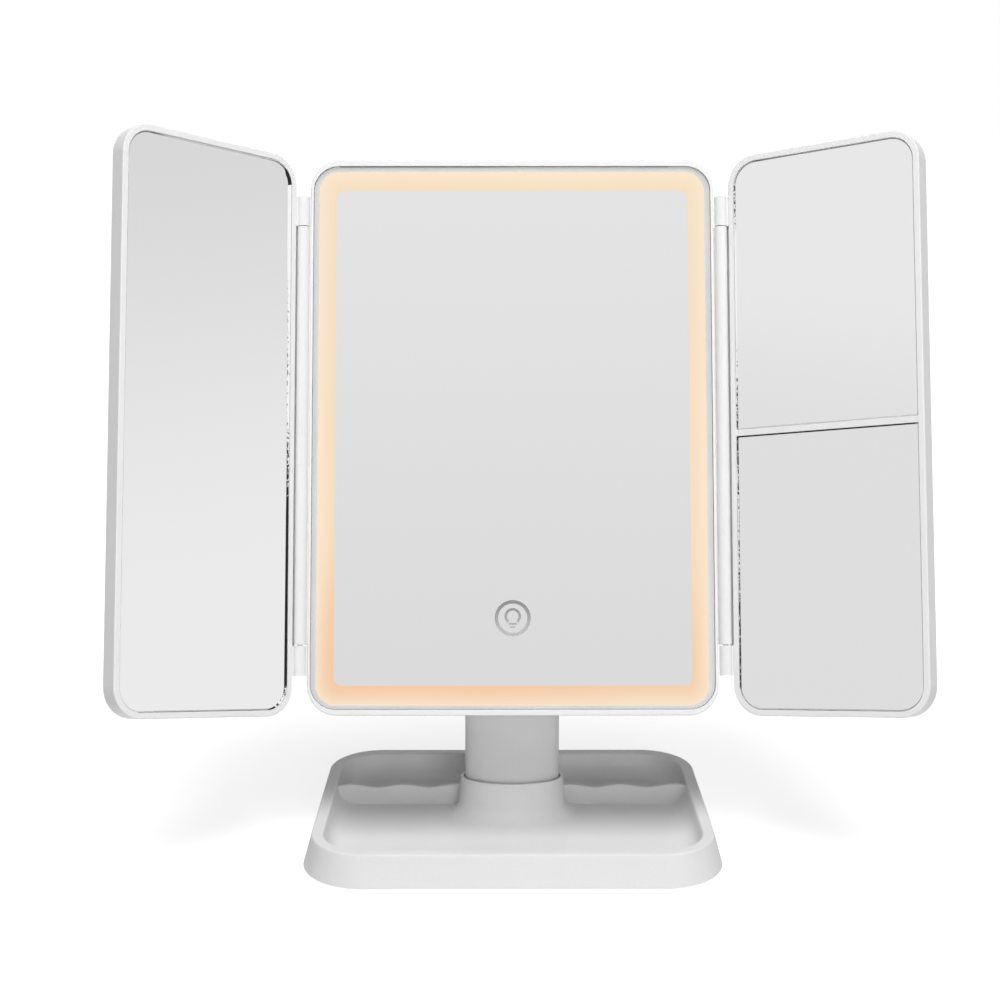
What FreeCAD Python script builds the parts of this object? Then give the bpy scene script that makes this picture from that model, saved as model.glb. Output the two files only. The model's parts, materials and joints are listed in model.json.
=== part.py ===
import FreeCAD, Part

import math
import os

# Trifold vanity mirror on a tray base. Millimetres and degrees.
# Model frame: +X to the right, -Y towards the user, +Z up, origin on the desk
# under the middle of the base.
# Panel frame, used for the head and the wings before they are stood up:
# x to the right, y up the mirror from its lower edge, z out of the mirror's front.

# --- Centre panel -----------------------------------------------------------
PANEL_WIDTH = 178.0
PANEL_HEIGHT = 244.8
PANEL_THICKNESS = 11.0
PANEL_CORNER = 13.0
SIDE_RIM = 1.2            # white rim left and right of the centre glass
END_RIM = 2.6             # white rim above and below it
BEZEL_DEPTH = 7.0
RIM_ROUND = 0.5
GLASS_RECESS = 1.3
GLASS_THICKNESS = 2.8
GLASS_CLEARANCE = 0.15
GLASS_BEVEL = 0.5
TAPE_THICKNESS = 0.3
LEDGE_WIDTH = 2.0
LEDGE_THICKNESS = 1.5
SHELL_WALL = 2.0
SHELL_SIDE_WALL = 2.2
SHELL_OVERHANG = 0.8      # how far the back shell stands out past the bezel
SHELL_ROUND = 2.5
LIP_THICKNESS = 1.2
LIP_CLEARANCE = 0.2

# --- Light ------------------------------------------------------------------
DIFFUSER_WIDTH = 9.5
DIFFUSER_THICKNESS = 1.8
DIFFUSER_CLEARANCE = 0.3
STRIP_WIDTH = 5.0
STRIP_INSET = 5.0         # from the glass opening to the strip
STRIP_THICKNESS = 0.8
LED_PITCH = 18.0
LED_LENGTH = 3.5
LED_WIDTH = 2.8
LED_HEIGHT = 0.7

# --- Touch switch and boards ------------------------------------------------
TOUCH_HEIGHT = 42.2       # centre of the touch sign above the lower edge
BOARD_WIDTH = 40.0
BOARD_HEIGHT = 26.0
BOARD_THICKNESS = 1.2
BOARD_POST = 0.8
BOARD_POST_RADIUS = 2.6
BOARD_SCREW_INSET = 3.5
BOARD_SCREW_RADIUS = 1.0
BOARD_SCREW_HEAD = 1.9
BOARD_SCREW_HEAD_HEIGHT = 1.0
BOARD_SCREW_DEPTH = 2.0
TOUCH_SPRING_RADIUS = 4.0
TOUCH_SPRING_WALL = 0.6
CONTACT_GAP = 0.1
CABLE_WIDTH = 6.0
CABLE_THICKNESS = 0.4
CHARGE_BOARD_LENGTH = 16.0
SOCKET_WIDTH = 9.0
SOCKET_HEIGHT = 3.3
SOCKET_LENGTH = 7.5
SOCKET_WALL = 0.4
SOCKET_CLEARANCE = 0.3

# --- Batteries: four AA cells side by side ----------------------------------
CELL_COUNT = 4
CELL_DIAMETER = 14.3
CELL_LENGTH = 49.5
CELL_BUTTON_RADIUS = 2.7
CELL_BUTTON_HEIGHT = 1.2
CELL_PITCH = 15.0
CELL_CLEARANCE = 0.4
CONTACT_SPACE = 3.4       # room for a battery contact at each end of a cell
CONTACT_SHEET = 0.4
CONTACT_WIDTH = 9.0
HOUSING_WALL = 2.4
HOUSING_ROUND = 2.0
HOUSING_CORNER = 5.0
POCKET_LENGTH = 13.0      # charging board's pocket above the cells
DOOR_THICKNESS = 1.8
DOOR_CLEARANCE = 0.3
DOOR_TONGUE = 1.0
DOOR_TONGUE_THICKNESS = 0.8
DOOR_GRIP_WIDTH = 16.0
DOOR_GRIP_COUNT = 4
DOOR_GRIP_PITCH = 2.4
DOOR_GRIP_DEPTH = 0.5

# --- Tilt joint -------------------------------------------------------------
TILT_ANGLE = 19.2         # how far the mirror leans back as stored
PIVOT_HEIGHT = 93.3       # tilt axis above the desk
PIVOT_UP = 40.4           # tilt axis above the panel's lower edge
PIVOT_BEHIND = 24.0       # tilt axis behind the panel's front plane
EAR_RADIUS = 9.0
EAR_THICKNESS = 7.0
WASHER_THICKNESS = 0.5
WASHER_GAP = 0.1
WASHER_RADIUS = 7.5
BOLT_RADIUS = 2.5
BOLT_CLEARANCE = 0.05
BOLT_HEAD_RADIUS = 4.3
BOLT_HEAD_HEIGHT = 2.8
NUT_FLATS = 8.0
NUT_HEIGHT = 3.2
CAP_RADIUS = 5.6
CAP_THICKNESS = 1.2
CAP_CLEARANCE = 0.05

# --- Column -----------------------------------------------------------------
COLUMN_WIDTH = 42.5
COLUMN_DEPTH = 19.0
COLUMN_WALL = 2.4
COLUMN_Y = 11.5
COLUMN_CLEARANCE = 0.3
BOSS_MOUTH = 0.6          # wider round the column at the boss's top
BOSS_MOUTH_DEPTH = 2.5
COLUMN_POST_RADIUS = 5.0
COLUMN_RIB = 2.0
HUB_OVERHANG = 0.15       # the hinge hub stands this far out of each side
COLUMN_SCREW_RADIUS = 2.0
COLUMN_SCREW_LENGTH = 18.0
COLUMN_SCREW_HEAD = 4.2
COLUMN_SCREW_HEAD_HEIGHT = 2.0
SCREW_CLEARANCE = 0.1

# --- Base -------------------------------------------------------------------
RIM_FRONT_WIDTH = 175.0
RIM_REAR_WIDTH = 168.6
RIM_TRAY_DEPTH = 118.6
RIM_HEIGHT = 14.2
RIM_WIDTH = 5.0
RIM_CORNER = 23.5
SKIRT_FLARE = 3.9
SKIRT_CORNER = 27.0
SKIRT_BOTTOM = 0.5
SKIRT_WALL = 2.2
RIM_EDGE_ROUND = 1.0
TRAY_FLOOR = 3.9
TRAY_WALL = 1.8
TRAY_WALL_SLOPE = 2.5     # how far the tray's walls lean in down to the floor
TRAY_FILLET = 8.0
DIVIDER_Y = 18.7
DIVIDER_THICKNESS = 2.0
DIVIDER_CREST = 13.4
DIVIDER_WAVE = 1.5        # crest to trough
DIVIDER_PITCH = 23.8
DIVIDER_FIRST_CREST = 50.0
BOSS_HEIGHT = 20.8
BOSS_WALL = 1.7
BOSS_SLOPE = 1.3
BOSS_FILLET = 6.5
SOCKET_FLOOR = 7.0
COVER_BOTTOM = 0.8
COVER_THICKNESS = 1.2
COVER_CLEARANCE = 0.3
FOOT_RADIUS = 6.0
FOOT_CLEARANCE = 0.05
FOOT_INSET = 17.5
COVER_SCREW_RADIUS = 1.3
COVER_SCREW_HEAD = 2.6
COVER_SCREW_LENGTH = 7.0
COVER_SCREW_INSET = 10.5
COVER_POST_RADIUS = 3.0
COVER_HOLE_RADIUS = 6.5   # way to the column screw

# --- Wings and their hinges -------------------------------------------------
WING_THICKNESS = 8.8
WING_RIM = 2.6
WING_ROUND = 1.0
WING_FRAME_DEPTH = 5.4
WING_GLASS_RECESS = 0.9
WING_GLASS_THICKNESS = 2.0
WING_LEDGE_WIDTH = 4.4
WING_LEDGE_THICKNESS = 1.2
WING_COVER_WALL = 1.6
WING_BAR = 2.8
LEFT_WING_ANGLE = 43.0    # forward of flat, as stored
RIGHT_WING_ANGLE = 34.0
BARREL_RADIUS = 2.75
BARREL_GAP = 0.35         # between a barrel and the centre panel
WING_GAP = 0.8            # between a barrel and the wing's edge
TROUGH_REACH = 0.4        # from the hinge axis to the wing's lip behind the barrel
HINGE_FORWARD = 0.4       # hinge axis in front of the panel's front plane
HINGE_END = 17.1          # from the panel's ends to the knuckles
KNUCKLE_LENGTH = 13.0
KNUCKLE_GAP = 0.4
FOLD_GAP = 0.6            # between the folded wings
PIN_RADIUS = 1.25
PIN_CLEARANCE = 0.04
PIN_LENGTH = 26.0
PIN_RECESS = 0.8

# --- Places worked out from the sizes above ---------------------------------
HALF_WIDTH = PANEL_WIDTH / 2
GLASS_FRONT = -GLASS_RECESS
GLASS_BACK = GLASS_FRONT - GLASS_THICKNESS
LEDGE_FRONT = GLASS_BACK - TAPE_THICKNESS
LEDGE_BACK = LEDGE_FRONT - LEDGE_THICKNESS
SHELL_BACK = -PANEL_THICKNESS
SHELL_FLOOR = SHELL_BACK + SHELL_WALL
OPENING_CORNER = PANEL_CORNER - (SIDE_RIM + END_RIM) / 2

HUB_HALF = COLUMN_WIDTH / 2 + HUB_OVERHANG
EAR_INNER = HUB_HALF + WASHER_THICKNESS + 2 * WASHER_GAP
EAR_OUTER = EAR_INNER + EAR_THICKNESS
HUB_RADIUS = COLUMN_DEPTH / 2
PIVOT_Z = -PIVOT_BEHIND

BAY_HALF = CELL_COUNT * CELL_PITCH / 2 + CELL_CLEARANCE
HOUSING_HALF = BAY_HALF + HOUSING_WALL
HOUSING_LOW = PIVOT_UP + HUB_RADIUS + 2.0
BAY_LOW = HOUSING_LOW + HOUSING_WALL
BAY_HIGH = BAY_LOW + CELL_LENGTH + CELL_BUTTON_HEIGHT + 2 * CONTACT_SPACE
POCKET_LOW = BAY_HIGH + HOUSING_WALL
POCKET_HIGH = POCKET_LOW + POCKET_LENGTH
HOUSING_HIGH = POCKET_HIGH + HOUSING_WALL
CELL_Z = SHELL_BACK - CELL_CLEARANCE - CELL_DIAMETER / 2
DOOR_INNER = CELL_Z - CELL_DIAMETER / 2 - CELL_CLEARANCE
DOOR_OUTER = DOOR_INNER - DOOR_THICKNESS
POCKET_BACK = DOOR_INNER + DOOR_CLEARANCE
POCKET_FLOOR = POCKET_BACK + HOUSING_WALL

HINGE_X = HALF_WIDTH + BARREL_RADIUS + BARREL_GAP
WING_INNER = HINGE_X + BARREL_RADIUS + WING_GAP
WING_OUTER = 2 * HINGE_X - FOLD_GAP / 2
BARREL_LOW = HINGE_END + KNUCKLE_LENGTH + KNUCKLE_GAP

COVER_TOP = COVER_BOTTOM + COVER_THICKNESS
TRAY_UNDERSIDE = TRAY_FLOOR - TRAY_WALL
SCREW_SEAT = (SOCKET_FLOOR + TRAY_UNDERSIDE) / 2


# --- Small tools ------------------------------------------------------------
def vec(x, y, z):
    return FreeCAD.Vector(x, y, z)


def rounded_polygon(corners, radius, z):
    """Closed wire at height z through the corners, each rounded to the radius."""
    points = [vec(x, y, z) for x, y in corners]
    arcs = []
    for index, corner in enumerate(points):
        before = (points[index - 1] - corner).normalize()
        after = (points[(index + 1) % len(points)] - corner).normalize()
        half = before.getAngle(after) / 2
        start = corner + before * (radius / math.tan(half))
        end = corner + after * (radius / math.tan(half))
        inward = (before + after).normalize()
        middle = corner + inward * (radius / math.sin(half) - radius)
        arcs.append((start, middle, end))
    edges = []
    for index, (start, middle, end) in enumerate(arcs):
        edges.append(Part.Arc(start, middle, end).toShape())
        following = arcs[(index + 1) % len(arcs)][0]
        edges.append(Part.LineSegment(end, following).toShape())
    return Part.Wire(edges)


def prism(wire, height):
    """Solid standing on a wire, height along z (either sign)."""
    return Part.Face(wire).extrude(vec(0, 0, height))


def plate(x_low, x_high, y_low, y_high, radius, z_low, z_high):
    """Flat plate with rounded corners."""
    corners = [(x_low, y_low), (x_high, y_low), (x_high, y_high), (x_low, y_high)]
    return prism(rounded_polygon(corners, radius, z_low), z_high - z_low)


def block(x_low, x_high, y_low, y_high, z_low, z_high):
    """Plain box between two corners."""
    size = (x_high - x_low, y_high - y_low, z_high - z_low)
    return Part.makeBox(*size, vec(x_low, y_low, z_low))


def loft(lower, upper):
    return Part.makeLoft([lower, upper], True, True)


def join(shapes):
    """Fuse shapes that touch into one clean solid."""
    whole = shapes[0].fuse(shapes[1:])
    return whole.removeSplitter()


def rod_x(radius, x_low, x_high, y, z):
    return Part.makeCylinder(radius, x_high - x_low, vec(x_low, y, z), vec(1, 0, 0))


def rod_y(radius, y_low, y_high, x, z):
    return Part.makeCylinder(radius, y_high - y_low, vec(x, y_low, z), vec(0, 1, 0))


def rod_z(radius, z_low, z_high, x, y):
    return Part.makeCylinder(radius, z_high - z_low, vec(x, y, z_low), vec(0, 0, 1))


def edges_at_height(shape, z, reach=0.01):
    """Edges of a shape that lie flat at height z."""
    return [e for e in shape.Edges
            if abs(e.BoundBox.ZMin - z) < reach and abs(e.BoundBox.ZMax - z) < reach]


def oval(half_x, half_y, y, z):
    """Oval wire, long axis along X, centred at (0, y)."""
    curve = Part.Ellipse(vec(0, y, z), half_x, half_y)
    return Part.Wire([curve.toShape()])


def stand_up(shape):
    """Move a shape from the panel frame to its place on the tilted head."""
    placed = shape.copy()
    placed.translate(vec(0, -PIVOT_UP, PIVOT_BEHIND))
    placed.rotate(vec(0, 0, 0), vec(1, 0, 0), 90.0 - TILT_ANGLE)
    placed.translate(vec(0, COLUMN_Y, PIVOT_HEIGHT))
    return placed


def swing(shape, side):
    """Turn a wing forward about its hinge; side is -1 for left and 1 for right."""
    angle = LEFT_WING_ANGLE if side < 0 else -RIGHT_WING_ANGLE
    turned = shape.copy()
    turned.rotate(vec(side * HINGE_X, 0, HINGE_FORWARD), vec(0, 1, 0), angle)
    return turned


def save(node, shape):
    """Write one node, with every solid in it."""
    solids = shape.Solids
    for solid in solids:
        if not solid.isValid():
            print("INVALID", node)
    whole = solids[0] if len(solids) == 1 else Part.makeCompound(solids)
    whole.exportStep("parts/" + node + ".step")
    print(node, len(solids), round(sum(s.Volume for s in solids), 1))


# --- Centre panel -----------------------------------------------------------
def opening_plate(inset, z_low, z_high):
    """Plate the shape of the bezel's glass opening, made smaller by inset."""
    half = HALF_WIDTH - SIDE_RIM - inset
    low = END_RIM + inset
    corner = max(OPENING_CORNER - inset, 1.0)
    return plate(-half, half, low, PANEL_HEIGHT - low, corner, z_low, z_high)


def front_bezel():
    """White front frame with the long middle barrel of each wing hinge."""
    frame = plate(-HALF_WIDTH, HALF_WIDTH, 0, PANEL_HEIGHT, PANEL_CORNER, -BEZEL_DEPTH, 0)
    frame = frame.makeFillet(RIM_ROUND, edges_at_height(frame, 0))
    frame = frame.cut(opening_plate(0, LEDGE_FRONT, 1))
    frame = frame.cut(opening_plate(LEDGE_WIDTH, -BEZEL_DEPTH - 1, 1))
    frame = frame.cut(opening_plate(0, -BEZEL_DEPTH - 1, LEDGE_BACK))
    pieces = [frame]
    high = PANEL_HEIGHT - BARREL_LOW
    for side in (-1, 1):
        barrel = rod_y(BARREL_RADIUS, BARREL_LOW, high, side * HINGE_X, HINGE_FORWARD)
        inner = side * (HALF_WIDTH - SIDE_RIM / 2)
        x_low, x_high = sorted((inner, side * HINGE_X))
        web = block(x_low, x_high, BARREL_LOW, high, HINGE_FORWARD - BARREL_RADIUS, -RIM_ROUND)
        pieces += [barrel, web]
    bezel = join(pieces)
    for side in (-1, 1):
        for pin in hinge_pin_spans():
            bezel = bezel.cut(hinge_bore(side, pin))
    return bezel


def hinge_pin_spans():
    """Low and high end of the two pins of one hinge."""
    low = HINGE_END + PIN_RECESS
    return [(low, low + PIN_LENGTH), (PANEL_HEIGHT - low - PIN_LENGTH, PANEL_HEIGHT - low)]


def hinge_bore(side, span):
    """Bore for one pin, run out past the knuckle's end."""
    radius = PIN_RADIUS + PIN_CLEARANCE
    middle = PANEL_HEIGHT / 2
    low = span[0] - PIN_RECESS - 1 if span[0] < middle else span[0] - PIN_CLEARANCE
    high = span[1] + PIN_RECESS + 1 if span[1] > middle else span[1] + PIN_CLEARANCE
    return rod_y(radius, low, high, side * HINGE_X, HINGE_FORWARD)


def hinge_pins(side):
    """Two steel pins of one wing hinge."""
    pins = []
    for low, high in hinge_pin_spans():
        pins.append(rod_y(PIN_RADIUS, low, high, side * HINGE_X, HINGE_FORWARD))
    return Part.makeCompound(pins)


def centre_mirror():
    glass = opening_plate(GLASS_CLEARANCE, GLASS_BACK, GLASS_FRONT)
    return glass.makeChamfer(GLASS_BEVEL, edges_at_height(glass, GLASS_FRONT))


def mirror_tape():
    """Foam tape between the glass and the bezel's ledge."""
    outer = opening_plate(GLASS_CLEARANCE, LEDGE_FRONT, GLASS_BACK)
    return outer.cut(opening_plate(LEDGE_WIDTH, LEDGE_FRONT - 1, GLASS_BACK + 1))


def light_diffuser():
    """Frosted acrylic frame bonded behind the lit band of the glass."""
    inset = LEDGE_WIDTH + DIFFUSER_CLEARANCE
    outer = opening_plate(inset, GLASS_BACK - DIFFUSER_THICKNESS, GLASS_BACK)
    inner = opening_plate(inset + DIFFUSER_WIDTH, GLASS_BACK - DIFFUSER_THICKNESS - 1, 0)
    return outer.cut(inner)


def led_strip(length):
    """Strip along x with its lamps, low corner at the origin."""
    board = block(0, length, 0, STRIP_WIDTH, 0, STRIP_THICKNESS)
    count = int((length - LED_PITCH / 2) / LED_PITCH) + 1
    first = (length - (count - 1) * LED_PITCH) / 2
    y_low = (STRIP_WIDTH - LED_WIDTH) / 2
    lamps = []
    for index in range(count):
        x_low = first + index * LED_PITCH - LED_LENGTH / 2
        lamps.append(block(x_low, x_low + LED_LENGTH, y_low, y_low + LED_WIDTH,
                           STRIP_THICKNESS, STRIP_THICKNESS + LED_HEIGHT))
    return join([board] + lamps)


def led_strips():
    """Four strips on the back shell's floor, behind the diffuser."""
    side_x = HALF_WIDTH - SIDE_RIM - STRIP_INSET
    end_y = END_RIM + STRIP_INSET
    across = 2 * side_x - 2 * STRIP_WIDTH - 2
    along = PANEL_HEIGHT - 2 * end_y
    strips = []
    for y_low in (end_y, PANEL_HEIGHT - end_y - STRIP_WIDTH):
        strip = led_strip(across)
        strip.translate(vec(-across / 2, y_low, SHELL_FLOOR))
        strips.append(strip)
    for x_high in (-side_x + STRIP_WIDTH, side_x):
        strip = led_strip(along)
        strip.rotate(vec(0, 0, 0), vec(0, 0, 1), 90)
        strip.translate(vec(x_high, end_y, SHELL_FLOOR))
        strips.append(strip)
    return Part.makeCompound(strips)


# --- Boards -----------------------------------------------------------------
BOARD_LOW = TOUCH_HEIGHT - BOARD_HEIGHT / 2
BOARD_HIGH = TOUCH_HEIGHT + BOARD_HEIGHT / 2
BOARD_BACK = SHELL_FLOOR + BOARD_POST
BOARD_FRONT = BOARD_BACK + BOARD_THICKNESS


def board_screw_places():
    places = []
    for x in (-BOARD_WIDTH / 2 + BOARD_SCREW_INSET, BOARD_WIDTH / 2 - BOARD_SCREW_INSET):
        for y in (BOARD_LOW + BOARD_SCREW_INSET, BOARD_HIGH - BOARD_SCREW_INSET):
            places.append((x, y))
    return places


def control_board():
    """Touch and dimmer board on four posts behind the touch sign."""
    half = BOARD_WIDTH / 2
    board = block(-half, half, BOARD_LOW, BOARD_HIGH, BOARD_BACK, BOARD_FRONT)
    chip = block(-half + 8, -half + 13, BOARD_LOW + 4, BOARD_LOW + 9, BOARD_FRONT, BOARD_FRONT + 1)
    plug = block(half - 12, half - 7, BOARD_LOW + 3, BOARD_LOW + 9, BOARD_FRONT, BOARD_FRONT + 1.5)
    board = join([board, chip, plug])
    for x, y in board_screw_places():
        board = board.cut(rod_z(BOARD_SCREW_RADIUS + SCREW_CLEARANCE,
                                BOARD_BACK - 1, BOARD_FRONT + 1, x, y))
    return board


def board_screws():
    screws = []
    for x, y in board_screw_places():
        shank = rod_z(BOARD_SCREW_RADIUS, SHELL_FLOOR + BOARD_POST - BOARD_SCREW_DEPTH,
                      BOARD_FRONT, x, y)
        head = rod_z(BOARD_SCREW_HEAD, BOARD_FRONT, BOARD_FRONT + BOARD_SCREW_HEAD_HEIGHT, x, y)
        screws.append(join([shank, head]))
    return Part.makeCompound(screws)


def touch_spring():
    """Sprung contact between the board and the back of the glass."""
    low = BOARD_FRONT
    high = GLASS_BACK - CONTACT_GAP
    outer = rod_z(TOUCH_SPRING_RADIUS, low, high, 0, TOUCH_HEIGHT)
    return outer.cut(rod_z(TOUCH_SPRING_RADIUS - TOUCH_SPRING_WALL, low - 1, high + 1,
                           0, TOUCH_HEIGHT))


def ribbon_cable():
    """Flat cable from the control board up to the charging board's pocket."""
    half = CABLE_WIDTH / 2
    return block(-half, half, BOARD_HIGH + CONTACT_GAP, POCKET_LOW - CONTACT_GAP,
                 SHELL_FLOOR, SHELL_FLOOR + CABLE_THICKNESS)


def lamp_lead():
    """Flat lead from the control board down to the lower lamp strip."""
    x_low = BOARD_WIDTH / 2 - 12
    y_low = END_RIM + STRIP_INSET + STRIP_WIDTH + CONTACT_GAP
    return block(x_low, x_low + CABLE_WIDTH, y_low, BOARD_LOW - CONTACT_GAP,
                 SHELL_FLOOR, SHELL_FLOOR + CABLE_THICKNESS)


def charging_board():
    """Small board on the back of the pocket above the cells."""
    return block(BAY_HALF - CHARGE_BOARD_LENGTH, BAY_HALF - DOOR_CLEARANCE,
                 POCKET_LOW + 0.5, POCKET_HIGH - 0.5,
                 POCKET_FLOOR, POCKET_FLOOR + BOARD_THICKNESS)


def socket_body(grow):
    """Outer form of the charging socket, grown all round."""
    middle = (POCKET_LOW + POCKET_HIGH) / 2
    z_low = POCKET_FLOOR + BOARD_THICKNESS
    corner = SOCKET_HEIGHT / 2 - 0.1
    x_high = HOUSING_HALF - DOOR_CLEARANCE
    profile = [(-SOCKET_WIDTH / 2 - grow, z_low - grow),
               (SOCKET_WIDTH / 2 + grow, z_low - grow),
               (SOCKET_WIDTH / 2 + grow, z_low + SOCKET_HEIGHT + grow),
               (-SOCKET_WIDTH / 2 - grow, z_low + SOCKET_HEIGHT + grow)]
    body = prism(rounded_polygon(profile, corner + grow, 0), SOCKET_LENGTH)
    # profile x becomes panel y and profile y becomes panel z
    turn = FreeCAD.Matrix(0, 0, 1, x_high - SOCKET_LENGTH,
                          1, 0, 0, middle,
                          0, 1, 0, 0,
                          0, 0, 0, 1)
    return body.transformShape(turn)


def charging_socket():
    body = socket_body(0)
    mouth = socket_body(-SOCKET_WALL)
    mouth.translate(vec(1.5, 0, 0))
    middle = (POCKET_LOW + POCKET_HIGH) / 2
    z_mid = POCKET_FLOOR + BOARD_THICKNESS + SOCKET_HEIGHT / 2
    x_high = HOUSING_HALF - DOOR_CLEARANCE
    tongue = block(x_high - SOCKET_LENGTH + 1, x_high - 0.8, middle - 3, middle + 3,
                   z_mid - 0.35, z_mid + 0.35)
    return join([body.cut(mouth), tongue])


# --- Batteries --------------------------------------------------------------
def cell_x(index):
    return (index - (CELL_COUNT - 1) / 2) * CELL_PITCH


def cell_points_up(index):
    return index % 2 == 0


def battery_cells():
    """AA cells, each turned the other way round from its neighbour."""
    cells = []
    low = BAY_LOW + CONTACT_SPACE
    for index in range(CELL_COUNT):
        x = cell_x(index)
        can_low = low if cell_points_up(index) else low + CELL_BUTTON_HEIGHT
        can_high = can_low + CELL_LENGTH
        can = rod_y(CELL_DIAMETER / 2, can_low, can_high, x, CELL_Z)
        if cell_points_up(index):
            button = rod_y(CELL_BUTTON_RADIUS, can_high, can_high + CELL_BUTTON_HEIGHT, x, CELL_Z)
        else:
            button = rod_y(CELL_BUTTON_RADIUS, low, can_low, x, CELL_Z)
        cells.append(join([can, button]))
    return Part.makeCompound(cells)


def contact(x, wall, towards):
    """Sheet contact on a bay wall at y, with a tongue bent towards the cell."""
    reach = CONTACT_SPACE - CONTACT_GAP
    half = CELL_DIAMETER / 2 - 1
    sheet = CONTACT_SHEET
    base = [(0, -half), (0, half), (sheet, half), (sheet, -half)]
    tongue = [(0, -half), (reach, -1.0), (reach, 1.0), (1.2, half - 2.0), (0.8, half - 2.0),
              (reach - sheet, 0.8), (reach - sheet, -0.8), (0, 1.0 - half)]
    leaves = []
    for profile in (base, tongue):
        points = [vec(x - CONTACT_WIDTH / 2, wall + towards * out, CELL_Z + along)
                  for out, along in profile]
        face = Part.Face(Part.makePolygon(points + [points[0]]))
        leaves.append(face.extrude(vec(CONTACT_WIDTH, 0, 0)))
    return join(leaves)


def spring_contacts():
    """Bent contacts at the flat end of each cell."""
    leaves = []
    for index in range(CELL_COUNT):
        if cell_points_up(index):
            leaves.append(contact(cell_x(index), BAY_LOW, 1))
        else:
            leaves.append(contact(cell_x(index), BAY_HIGH, -1))
    return Part.makeCompound(leaves)


def button_contacts():
    """Raised plates at the button end of each cell."""
    plates = []
    for index in range(CELL_COUNT):
        x = cell_x(index)
        if cell_points_up(index):
            wall, towards = BAY_HIGH, -1
        else:
            wall, towards = BAY_LOW, 1
        near = wall + towards * CONTACT_SHEET
        far = wall + towards * (CONTACT_SPACE - CONTACT_GAP)
        sheet = block(x - CONTACT_WIDTH / 2, x + CONTACT_WIDTH / 2, min(wall, near),
                      max(wall, near), CELL_Z - 5, CELL_Z + 5)
        stub = rod_y(CELL_BUTTON_RADIUS, min(near, far), max(near, far), x, CELL_Z)
        plates.append(join([sheet, stub]))
    return Part.makeCompound(plates)


def battery_door():
    """Sliding lid with a tongue along each side and grip ribs."""
    half = BAY_HALF - DOOR_CLEARANCE
    low = BAY_LOW + DOOR_CLEARANCE
    high = HOUSING_HIGH - HOUSING_CORNER / 2
    lid = plate(-half, half, low, high, 2.0, DOOR_OUTER, DOOR_INNER)
    tongue = block(-half - DOOR_TONGUE, half + DOOR_TONGUE, low + 2, BAY_HIGH - 2,
                   DOOR_INNER - DOOR_TONGUE_THICKNESS, DOOR_INNER)
    lid = join([lid, tongue])
    for index in range(DOOR_GRIP_COUNT):
        y = low + 8 + index * DOOR_GRIP_PITCH
        groove = block(-DOOR_GRIP_WIDTH / 2, DOOR_GRIP_WIDTH / 2, y, y + DOOR_GRIP_PITCH / 2,
                       DOOR_OUTER - 1, DOOR_OUTER + DOOR_GRIP_DEPTH)
        lid = lid.cut(groove)
    return lid


# --- Back shell -------------------------------------------------------------
def ear(side):
    """Hinge lug behind the panel, on one side of the column."""
    x_low, x_high = sorted((side * EAR_INNER, side * EAR_OUTER))
    low = PIVOT_UP - EAR_RADIUS
    root = block(x_low, x_high, low, HOUSING_LOW + HOUSING_WALL, PIVOT_Z, SHELL_BACK + 0.5)
    nose = rod_x(EAR_RADIUS, x_low, x_high, PIVOT_UP, PIVOT_Z)
    return join([root, nose])


def tilt_bolt_hole():
    """Bolt hole, head seat, nut seat and cap seats through both ears."""
    radius = BOLT_RADIUS + BOLT_CLEARANCE
    through = rod_x(radius, -EAR_OUTER - 1, EAR_OUTER + 1, PIVOT_UP, PIVOT_Z)
    seat_depth = CAP_THICKNESS + CAP_CLEARANCE
    cuts = [through]
    for side in (-1, 1):
        outer = side * (EAR_OUTER + 1)
        x_low, x_high = sorted((side * (EAR_OUTER - seat_depth), outer))
        cuts.append(rod_x(CAP_RADIUS + CAP_CLEARANCE, x_low, x_high, PIVOT_UP, PIVOT_Z))
    head_low = -EAR_OUTER + seat_depth
    cuts.append(rod_x(BOLT_HEAD_RADIUS + BOLT_CLEARANCE, head_low - 1,
                      head_low + BOLT_HEAD_HEIGHT, PIVOT_UP, PIVOT_Z))
    nut_high = EAR_OUTER - seat_depth
    cuts.append(nut_prism(nut_high - NUT_HEIGHT, nut_high + 1, SCREW_CLEARANCE))
    return cuts


def nut_prism(x_low, x_high, grow):
    """Hexagon along x round the tilt axis."""
    radius = (NUT_FLATS / 2 + grow) / math.cos(math.radians(30))
    points = []
    for index in range(7):
        angle = math.radians(60 * index)
        points.append(vec(x_low, PIVOT_UP + radius * math.cos(angle),
                          PIVOT_Z + radius * math.sin(angle)))
    return Part.Face(Part.makePolygon(points)).extrude(vec(x_high - x_low, 0, 0))


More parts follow.
